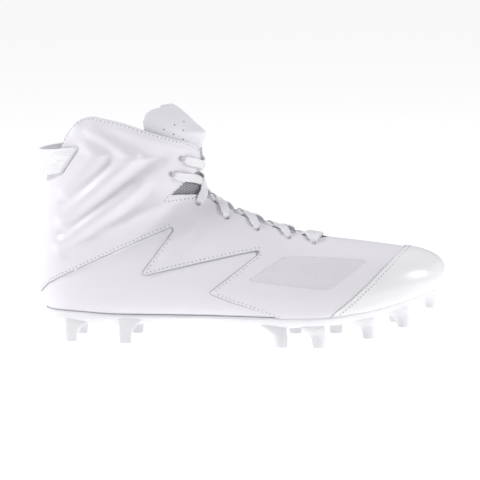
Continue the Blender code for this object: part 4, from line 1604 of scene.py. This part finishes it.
def pillow(place: Callable[[Array, Array, Array], Array], rows: Array, turns: Array, top: Array,
           thick: Array, ribs: Optional[Array] = None) -> Shape:
    """A closed flat body with rounded edges.

    Args:
        place: Gives points from rows, turns and a growth over the form.
        rows: Section rows, one for each point of the grid.
        turns: Turns, one for each point of the grid.
        top: Growth of the flat outer face.
        thick: Full thickness.
        ribs: Extra height of the outer face.

    Returns:
        The shape, with how far across and along each point lies.
    """
    height, width = rows.shape
    across, along = np.linspace(-1, 1, width), np.linspace(-1, 1, height)[:, None]
    edge = np.sqrt(np.clip(1 - np.abs(across) ** 14, 0, 1)) * np.sqrt(np.clip(1 - np.abs(along) ** 40, 0, 1))
    half = thick / 2 * edge
    raised = 0 if ribs is None else ribs * edge
    outer = place(rows, turns, top - thick / 2 + half + raised)
    inner = place(rows, turns, top - thick / 2 - half)
    loop = np.concatenate((outer, inner[:, ::-1]), axis=1)
    return grid_shape(loop, closed=True)


@dataclass
class Insole(Part):
    """The padded foot bed."""

    thickness: float = 0.003
    margin: float = 0.0075
    top: float = -0.0031
    ends: tuple[float, float] = (1.6, 14.6)
    fill: float = 0.9

    def build(self) -> None:
        """Build the bed."""
        form = self.form
        rows = np.linspace(*self.ends, 150)
        half = form.half(rows)
        share = np.clip((half - self.margin) / half, 0.05, 1)
        start = 1 - np.arcsin(share ** (form.section("round_under", rows) / 2)) / math.pi
        near = even_turns(form, rows, 1.0, start, 22)
        turns = np.concatenate((near[:, ::-1], 2 - near[:, 1:]), axis=1)
        turns = np.where(turns > 1, turns - 2, turns)
        across = np.broadcast_to(rows[:, None], turns.shape)
        shape = pillow(form.grown, across, turns, np.asarray(self.top), np.asarray(self.thickness))
        self.bench.piece("insole_bed", shape, self.finishes.bed.material(), "insole",
                         replaces=("insole",), padded=self.fill)


@dataclass
class Tongue(Part):
    """The padded tongue, with air holes near its top drawn as dark discs of painted shade."""

    thickness: float = 0.0045
    top: float = -0.0033
    first_row: float = 6.3
    top_row: float = 22.12
    square_row: float = 21.2
    flap_row: float = 18.9
    flap_run: float = 1.2
    lean: float = 0.0165
    lean_start: float = 0.90
    lean_run: float = 0.13
    lean_power: float = 1.4
    swell: float = 0.0044
    swell_turn: float = 0.04
    swell_spread: float = 0.07
    low_swell: float = 0.0042
    low_swell_start: float = 18.0
    low_swell_stop: float = 20.8
    dent_depth: float = 0.0012
    dent_place: float = 0.05
    dent_width: float = 0.16
    hole_radius: float = 0.00055
    fill: float = 0.9

    def place(self, rows: Array, turns: Array, grow: Array) -> Array:
        """Points of the tongue, which swells and leans forward over the collar.

        Args:
            rows: Section rows.
            turns: Turns.
            grow: How far they stand out from the form.

        Returns:
            The points.
        """
        above_flaps = np.clip((rows - self.flap_row) / self.flap_run, 0, 1)
        below_top = self.low_swell * ease((rows - self.low_swell_start) / 0.8) \
            * ease(self.low_swell_stop - rows)
        full = self.swell * above_flaps + below_top
        full = full * np.exp(-(turns / (self.swell_turn + self.swell_spread * above_flaps)) ** 2)
        points = self.form.grown(rows, turns, grow + full)
        above = np.clip((points[..., 2] / self.form.shaft_height - self.lean_start) / self.lean_run, 0, 1.2)
        points[..., 0] -= self.lean * above ** self.lean_power
        return points

    def reach(self, rows: Array) -> Array:
        """The tongue's half width, with its lower corners softened.

        Args:
            rows: Section rows.

        Returns:
            The turn at each row.
        """
        table_rows, turns = zip(*TONGUE_LINE)
        fine = np.linspace(table_rows[0], table_rows[-1], 800)
        reach = np.interp(fine, table_rows, turns)
        kernel = np.hanning(31)
        soft = np.convolve(np.pad(reach, 15, "edge"), kernel / kernel.sum(), "valid")
        return np.interp(rows, fine, np.where(fine > self.square_row, reach, soft))

    def build_pad(self) -> BVHTree:
        """Build the pad.

        Returns:
            Its surface.
        """
        rows = np.concatenate((np.linspace(self.first_row, 14, 90), np.linspace(14, self.top_row, 150)[1:]))
        across = np.sin(np.linspace(-1, 1, 61) * math.pi / 2 * 0.96) / math.sin(math.pi / 2 * 0.96)
        turns = self.reach(rows)[:, None] * across
        rows = np.broadcast_to(rows[:, None], turns.shape)
        thick = self.thickness * np.clip(0.45 + (rows - self.first_row) / 14, 0.45, 1) \
            * (1 - 0.55 * np.abs(across) ** 6)
        from_dent = (across + self.dent_place) / self.dent_width
        dent = -self.dent_depth * np.exp(-from_dent ** 2) * ease((rows - 18.6) / 1.4)
        shape = pillow(self.place, rows, turns, np.asarray(self.top), thick, dent)
        self.bench.piece("tongue_pad", shape, self.finishes.tongue.material(), "tongue",
                         replaces=("tongue",), padded=self.fill)
        return shape.surface()

    def build(self) -> None:
        """Build the pad, and dark discs of painted shade for its holes."""
        surface = self.build_pad()
        holes = []
        for row, turn in TONGUE_HOLES:
            for sign in (1, -1):
                place = self.place(np.array(row), np.array(sign * turn), np.asarray(self.top))
                found, normal = surface.find_nearest(Vector(place))[:2]
                # Each air hole is a dark disc: painted shade for the inside of the hole.
                holes.append(dot(np.array(found), np.array(normal), self.hole_radius))
        self.bench.piece("tongue_air_hole_shade", Shape.join(holes), self.finishes.dark.material(), "tongue")


@dataclass
class Laces:
    """One flat woven lace, crossed through the upper's eyelets."""

    upper: Upper
    width: float = 0.0062
    thickness: float = 0.0016
    clearance: float = 0.0011
    cross_reach: float = 0.005
    sag: float = 0.0024
    sag_reach: float = 0.006
    droop: float = 0.0025
    tucked_depth: float = -0.0034
    tuck_start: float = 0.0050
    tuck_reach: float = 0.0046
    dive: float = 0.0054
    dive_reach: float = 0.0034
    narrowing: float = 0.42
    narrow_reach: float = 0.0055
    cupping: float = 0.22

    def level_rows(self, rows: Array, turns: Array, share: Array) -> Array:
        """Pull a run straight round the ankle, at an even slope.

        Args:
            rows: Its rows.
            turns: Its turns.
            share: How far along the run each point lies, from 0 to 1.

        Returns:
            Its rows when it is pulled straight.
        """
        form = self.upper.form
        table = np.linspace(9, 21, 600)
        ends = form.point(rows[[0, -1]], turns[[0, -1]])[:, 2]
        height = ends[0] + (ends[1] - ends[0]) * share - self.droop * np.sin(share * math.pi)
        heights = form.point(table[:, None], turns[None, :])[..., 2]
        return np.array([np.interp(height[k], heights[:, k], table) for k in range(len(share))])

    def dived(self, from_end: Array) -> tuple[Array, Array]:
        """How an end goes down into its eyelet.

        Args:
            from_end: How far each point is from the run's end.

        Returns:
            How far it sinks, and its share of the full width.
        """
        sunk = self.dive * (1 - ease(from_end / self.dive_reach)) ** 1.6
        return sunk, 1 - self.narrowing * (1 - ease(from_end / self.narrow_reach))

    def section(self) -> tuple[Array, Array]:
        """The lace's cross section, hollow towards its middle.

        Returns:
            Its corners' places across and up, from -1 to 1.
        """
        corners = round_corners(20)
        flat_x = np.sign(np.cos(corners)) * np.abs(np.cos(corners)) ** 0.55
        flat_z = np.sign(np.sin(corners)) * np.abs(np.sin(corners)) ** 0.75
        return flat_x, self.thickness / 2 * flat_z * (1 - self.cupping * np.cos(corners * 2 + math.pi))

    def run(self, first: tuple[int, Side], second: tuple[int, Side], layer: float,
            tucked: tuple[bool, bool], level: float = 0.0) -> Shape:
        """One run of lace between two eyelets.

        Args:
            first: Eyelet and side that it starts at.
            second: Eyelet and side that it ends at.
            layer: 1 where it crosses over the other run, 0 where it goes under.
            tucked: Whether each end goes under its flap; otherwise it dives through its eyelet.
            level: How much it is pulled straight round the ankle, from 0 to 1.

        Returns:
            The run's shape.
        """
        form = self.upper.form
        start, end = [(EYELETS[index][0], self.upper.eyelet_turn(index, side))
                      for index, side in (first, second)]
        share = np.linspace(0, 1, 72)
        rows, turns = (low + (high - low) * share for low, high in zip(start, end))
        if level:
            rows = rows + (self.level_rows(rows, turns, share) - rows) * level
        middle, normal = form.point(rows, turns), form.normal(rows, turns)
        steps = np.linalg.norm(np.diff(middle, axis=0), axis=-1)
        travelled = np.concatenate(([0], np.cumsum(steps)))
        lateral = form.half(rows) * np.abs(np.sin(turns * math.pi)) ** (2 / form.section("round_top", rows))
        under_flap = lateral - self.upper.throat_half(rows)
        from_cross = (share - 0.5) * travelled[-1] / self.cross_reach
        cross_lift = (layer - 0.5) * self.thickness * np.exp(-from_cross ** 2)
        sagged = self.sag * ease(-under_flap / self.sag_reach)
        over = self.clearance + self.thickness / 2 + cross_lift - sagged
        lift = over.copy()
        wide = np.full(len(share), self.width / 2)
        for tuck, from_end, nearer in ((tucked[0], travelled, share < 0.5),
                                       (tucked[1], travelled[-1] - travelled, share >= 0.5)):
            if tuck:
                below = ease((under_flap + self.tuck_start) / self.tuck_reach)
                lift = np.where(nearer, over + (self.tucked_depth - over) * below, lift)
            else:
                sunk, narrow = self.dived(from_end)
                lift = np.where(nearer, over - sunk, lift)
                wide = np.where(nearer, wide * narrow, wide)
        middle = middle + normal * lift[:, None]
        tangent = unit(np.gradient(middle, axis=0))
        sideways = unit(np.cross(normal, tangent))
        out = unit(np.cross(tangent, sideways))
        flat_x, flat_z = self.section()
        across = wide[:, None] * flat_x
        rings = middle[:, None] + sideways[:, None] * across[..., None] + out[:, None] * flat_z[:, None]
        along = np.repeat(travelled[:, None], len(flat_x), axis=1)
        return grid_shape(rings, True, closed=True, values={"along": along, "across": across})

    def build(self) -> None:
        """Build every run: over both flaps at the ankle, from under the flaps down the instep."""
        last = len(EYELETS) - 1
        tucks = [(False, True), (False, False)] + [(True, False)] * (last - 2)
        levels = [1.0, 0.35] + [0.0] * (last - 2)
        runs = [self.run((i, side), (i + 1, other), layer, tucks[i], levels[i])
                for layer, side, other in ((0, Side.OUTER, Side.INNER), (1, Side.INNER, Side.OUTER))
                for i in range(last)]
        runs.append(self.run((last, Side.OUTER), (last, Side.INNER), 0.5, (False, False)))
        self.upper.bench.piece("woven_lace", Shape.join(runs), self.upper.finishes.lace.material(),
                               "laces", replaces=("laces",))


@dataclass
class PullLoop(Part):
    """The ribbed strap round the heel's back, whose ends go into slots."""

    thickness: float = 0.0016
    slack: float = 0.0052
    slack_reach: float = 0.33
    low_row: float = 19.57
    high_row: float = 20.46
    low_end: float = 0.728
    high_end: float = 0.639
    rib_pitch: float = 0.0013
    rib_height: float = 0.00022
    rib_margin: float = 0.08
    dive: float = 0.0030
    dive_reach: float = 0.022
    end_part: float = 0.02

    def build(self) -> None:
        """Build the strap."""
        share = np.linspace(0, 1, 66)[:, None]
        end = self.end_part
        part = np.concatenate((np.linspace(0, end, 8), np.linspace(end, 1 - end, 130)[1:-1],
                               np.linspace(1 - end, 1, 8)))
        rows = np.broadcast_to(self.low_row + (self.high_row - self.low_row) * share, (66, len(part)))
        start = self.low_end + (self.high_end - self.low_end) * share
        turns = start + (2 - 2 * start) * part
        turns = np.where(turns > 1, turns - 2, turns)
        from_end = np.minimum(part, 1 - part)
        far = np.clip(from_end / self.slack_reach, 0, 1)
        grow = self.form.gap + self.slack * far * far * (3 - 2 * far) + self.thickness
        grow = grow - self.dive * (1 - ease(from_end / self.dive_reach))
        height = np.linalg.norm(self.form.point(self.high_row, 1.0) - self.form.point(self.low_row, 1.0))
        ribs = self.rib_height * np.sin(share * height / self.rib_pitch * FULL_TURN)
        ribs = ribs * ease((0.5 - np.abs(share - 0.5)) / self.rib_margin)
        shape = pillow(self.form.grown, rows, turns, np.broadcast_to(grow, rows.shape),
                       np.asarray(self.thickness), np.broadcast_to(ribs, rows.shape))
        self.bench.piece("pull_loop_strap", shape, self.finishes.loop.material(), "pull_loop",
                         replaces=("pull_loop",))


@dataclass
class Stitching:
    """Rows of thread stitches on the skin."""

    upper: Upper
    toe_cap: ToeCap
    length: float = 0.0022
    pitch: float = 0.0030
    radius: float = 0.00032
    hole: float = 0.00036
    bow: float = 1.5
    sink: float = 0.9
    collar_inset: float = 0.0014
    throat_inset: float = 0.0026
    throat_rows: tuple[float, float] = (12.6, 18.9)
    edge_inset: float = 0.0016
    shortest: float = 0.012
    cap_pitch: float = 0.0013
    cap_length: float = 0.0009
    cap_sway: float = 0.0013
    corner: float = 0.75

    def __post_init__(self) -> None:
        """Start with no stitches."""
        self.form = self.upper.form
        self.stitches: list[Shape] = []
        self.holes: list[Shape] = []

    def stitch(self, start: Array, end: Array, normal: Array) -> Shape:
        """One stitch, a short thread that bows over the skin.

        Args:
            start: Where it comes out.
            end: Where it goes in.
            normal: Which way the skin looks there.

        Returns:
            The thread.
        """
        share = np.linspace(0, 1, 7)
        bow = np.sin(share * math.pi)
        lift = self.radius * (self.bow * bow - self.sink)
        line = start + (end - start) * share[:, None] + normal * lift[:, None]
        along = unit(np.gradient(line, axis=0))
        sideways = unit(np.cross(normal, along))
        out = np.cross(along, sideways)
        corners = round_corners(7)[None, :, None]
        wide = self.radius * np.sqrt(np.clip(1 - (2 * share - 1) ** 6, 0, 1))
        ring = sideways[:, None] * np.cos(corners) + out[:, None] * np.sin(corners)
        rings = line[:, None] + wide[:, None, None] * ring
        return grid_shape(rings, True, closed=True)

    def sew(self, surface: BVHTree, path: Array, pitch: float, length: float, sway: float = 0.0) -> None:
        """Sew along a path.

        Args:
            surface: The skin.
            path: Points near the skin.
            pitch: From one stitch to the next.
            length: Length of a stitch.
            sway: How far a zigzag stitch swings to each side, or 0 for a straight one.
        """
        steps = np.linalg.norm(np.diff(path, axis=0), axis=-1)
        travelled = np.concatenate(([0], np.cumsum(steps)))
        count = int(travelled[-1] / pitch)
        for index in range(count):
            middle = (index + 0.5) * travelled[-1] / count
            ends = [np.array([np.interp(middle + shift, travelled, path[:, k]) for k in range(3)])
                    for shift in (-length / 2, length / 2)]
            place, normal = surface.find_nearest(Vector((ends[0] + ends[1]) / 2))[:2]
            if place is None:
                continue
            normal = np.array(normal)
            if sway:
                swing = unit(np.cross(normal, ends[1] - ends[0])) * sway * (1 if index % 2 else -1)
                ends = [ends[0] - swing, ends[1] + swing]
            ends = [np.array(surface.find_nearest(Vector(end))[0]) for end in ends]
            self.stitches.append(self.stitch(ends[0], ends[1], normal))
            # A dark disc at the stitch's end is painted shade for its needle hole.
            self.holes.append(dot(ends[1], normal, self.hole))

    def on_side(self, surface: BVHTree, line: Array, side: Side) -> Array:
        """Lay a side-view line on the skin.

        Args:
            surface: The skin.
            line: The line.
            side: The side that it is laid on.

        Returns:
            Its points in 3-D.
        """
        found = []
        for x, z in line:
            hit = surface.ray_cast(Vector((x, -0.2 * side.value, z)), Vector((0, side.value, 0)))[0]
            if hit is not None:
                found.append(tuple(hit))
        return np.array(found)

    def beside(self, line: Array, away: float) -> Array:
        """Move a side-view line sideways, to the left of its direction.

        Args:
            line: The line.
            away: How far it moves.

        Returns:
            The moved line, in finer steps.
        """
        rows = np.linspace(0, len(line) - 1, (len(line) - 1) * 10 + 1)
        fine = np.stack([np.interp(rows, np.arange(len(line)), line[:, k]) for k in range(2)], -1)
        along = unit(np.gradient(fine, axis=0))
        left = np.stack((-along[:, 1], along[:, 0]), -1)
        return fine + left * away

    def build(self) -> None:
        """Sew every row."""
        skin = self.upper.skin.surface()
        cap = self.toe_cap.skin.surface()
        zigzag = self.form.side_points(ZIGZAG_LINE)
        corners = np.flatnonzero(self.sharp(zigzag))
        cuts = [0] + corners.tolist() + [len(zigzag) - 1]
        self.sew(cap, self.toe_cap.stitch_path, self.cap_pitch, self.cap_length, self.cap_sway)
        for side in Side:
            for first, last in zip(cuts[:-1], cuts[1:]):
                stretch = zigzag[first:last + 1]
                if np.linalg.norm(stretch[-1] - stretch[0]) > self.shortest:
                    path = self.on_side(skin, self.beside(stretch, self.edge_inset), side)
                    self.sew(skin, path[2:-2], self.pitch, self.length)
            self.sew_edge(skin, side)
        thread = self.upper.finishes.thread.material()
        self.upper.bench.piece("thread_stitches", Shape.join(self.stitches), thread, "upper")
        # Dark discs of painted shade for the needle holes.
        dark = self.upper.finishes.dark.material()
        self.upper.bench.piece("needle_hole_shade", Shape.join(self.holes), dark, "upper")

    def sharp(self, line: Array) -> Array:
        """Which points of a line are corners."""
        along = unit(np.diff(line, axis=0))
        return np.concatenate(([False], (along[1:] * along[:-1]).sum(-1) < self.corner, [False]))

    def sew_edge(self, surface: BVHTree, side: Side) -> None:
        """Sew along the throat's edge, and below the collar.

        Args:
            surface: The skin.
            side: The side.
        """
        form = self.upper.form
        rows = np.linspace(*self.throat_rows, 220)
        turns = form.turn_at(rows, self.upper.throat_half(rows) + self.throat_inset)
        self.sew(surface, form.point(rows, side.value * turns), self.pitch, self.length)
        grid_rows, grid_turns = self.upper.grid(side)
        below = form.point(grid_rows[-1], grid_turns[-1]) - (0, 0, self.collar_inset)
        self.sew(surface, below[3:-1], self.pitch, self.length)


@dataclass(frozen=True)
class Lamp:
    """One soft square light."""

    name: str
    place: tuple[float, float, float]
    size: float
    power: float
    colour: tuple[float, float, float] = (1.0, 0.99, 1.0)


@dataclass
class Studio:
    """The floor, the lights and the camera at the photo's angle."""

    bench: Bench
    yaw: float = 9.0
    pitch: float = 7.3
    roll: float = -0.75
    distance: float = 2.0
    target: tuple[float, float, float] = (0.147, 0.0, 0.082)
    pixels_per_metre: float = 1385.0
    frame_pixels: float = 480.0
    target_pixel: tuple[float, float] = (239.5, 226.5)
    sensor: float = 36.0
    front_level: float = 0.08
    back_level: float = 0.60
    top_level: float = 0.30
    room_colour: Colour = (0.975, 0.975, 1.0, 1)
    floor_reach: float = 12.0
    floor_tones: tuple[Colour, Colour] = ((0.93, 0.93, 0.93, 1), (0.94, 0.94, 0.94, 1))
    floor_glow: float = 0.455
    aim: tuple[float, float, float] = (0, 0, 0.07)
    lamps: tuple[Lamp, ...] = (Lamp("key", (-1.1, -0.34, 0.9), 0.30, 9.5),
                               Lamp("toe_glow", (1.3, -0.42, 0.75), 0.5, 8.0))

    def build_camera(self) -> None:
        """Set the camera where the photo's was."""
        yaw, pitch = math.radians(self.yaw), math.radians(self.pitch)
        back = Vector((math.sin(yaw) * math.cos(pitch), -math.cos(yaw) * math.cos(pitch), math.sin(pitch)))
        data = bpy.data.cameras.new("photo_camera")
        data.sensor_width = self.sensor
        data.lens = self.pixels_per_metre * self.distance / self.frame_pixels * self.sensor
        data.shift_x = (self.frame_pixels / 2 - self.target_pixel[0]) / self.frame_pixels
        data.shift_y = -(self.frame_pixels / 2 - self.target_pixel[1]) / self.frame_pixels
        data.clip_start, data.clip_end = 0.05, 50
        camera = bpy.data.objects.new("photo_camera", data)
        bpy.context.scene.collection.objects.link(camera)
        target = Vector(self.target) + Vector(self.bench.origin)
        turned = (-back).to_track_quat("-Z", "Y").to_matrix().to_4x4()
        camera.matrix_world = turned @ Matrix.Rotation(math.radians(self.roll), 4, "Z")
        camera.location = target + back * self.distance
        bpy.context.scene.camera = camera

    def light(self, lamp: Lamp) -> None:
        """Hang a light that looks at the shoe.

        Args:
            lamp: The light's sizes.
        """
        data = bpy.data.lights.new(lamp.name, "AREA")
        data.shape = "SQUARE"
        data.size = lamp.size
        data.energy = lamp.power
        data.color = lamp.colour
        made = bpy.data.objects.new(lamp.name, data)
        made.location = lamp.place
        made.rotation_mode = "QUATERNION"
        made.rotation_quaternion = (Vector(self.aim) - Vector(lamp.place)).to_track_quat("-Z", "Y")
        bpy.context.scene.collection.objects.link(made)

    def build_floor(self) -> None:
        """A plain white floor that reaches far behind."""
        graph = Graph("studio_floor")
        tint = graph.mix(graph.noise(0.4), *self.floor_tones)
        graph.dress(base_color=tint, roughness=0.8, emission_color=(1, 1, 1, 1),
                    emission_strength=self.floor_glow)
        mesh = bpy.data.meshes.new("studio_floor")
        reach = self.floor_reach
        mesh.from_pydata([(-reach, -reach, 0), (reach, -reach, 0), (reach, reach, 0), (-reach, reach, 0)],
                         [], [(0, 1, 2, 3)])
        mesh.materials.append(graph.material)
        floor = bpy.data.objects.new("studio_floor", mesh)
        bpy.context.scene.collection.objects.link(floor)

    def build_room(self) -> None:
        """A white room: bright behind the shoe and overhead, dimmer at the camera's side."""
        world = bpy.data.worlds.new("studio")
        world.use_nodes = True
        room = Nodes(world.node_tree)
        _, depth, height = room.axes(room.node("ShaderNodeTexCoord").outputs["Generated"])
        wall = depth.between(-0.30, 0.45, self.front_level, self.back_level)
        sky = height.between(0.15, 0.95, 0.0, self.top_level)
        background = world.node_tree.nodes["Background"]
        room.feed(background.inputs["Color"], self.room_colour)
        room.feed(background.inputs["Strength"], wall + sky)
        bpy.context.scene.world = world

    def build(self) -> None:
        """Build the studio."""
        self.build_floor()
        self.build_camera()
        self.build_room()
        bpy.context.scene.view_settings.view_transform = "Standard"
        for lamp in self.lamps:
            self.light(lamp)


def main() -> None:
    """Build the shoe and its studio."""
    logging.basicConfig(level=logging.INFO, format="%(name)s %(message)s")
    form = LastForm()
    bench = Bench(form)
    kit = (form, bench, Finishes())
    upper, toe_cap = Upper(*kit), ToeCap(*kit)
    for part in (upper, toe_cap, Sole(*kit), Insole(*kit), Tongue(*kit), Laces(upper), PullLoop(*kit),
                 Stitching(upper, toe_cap), Studio(bench)):
        LOG.info("building %s", type(part).__name__)
        part.build()


if __name__ == "__main__":
    main()
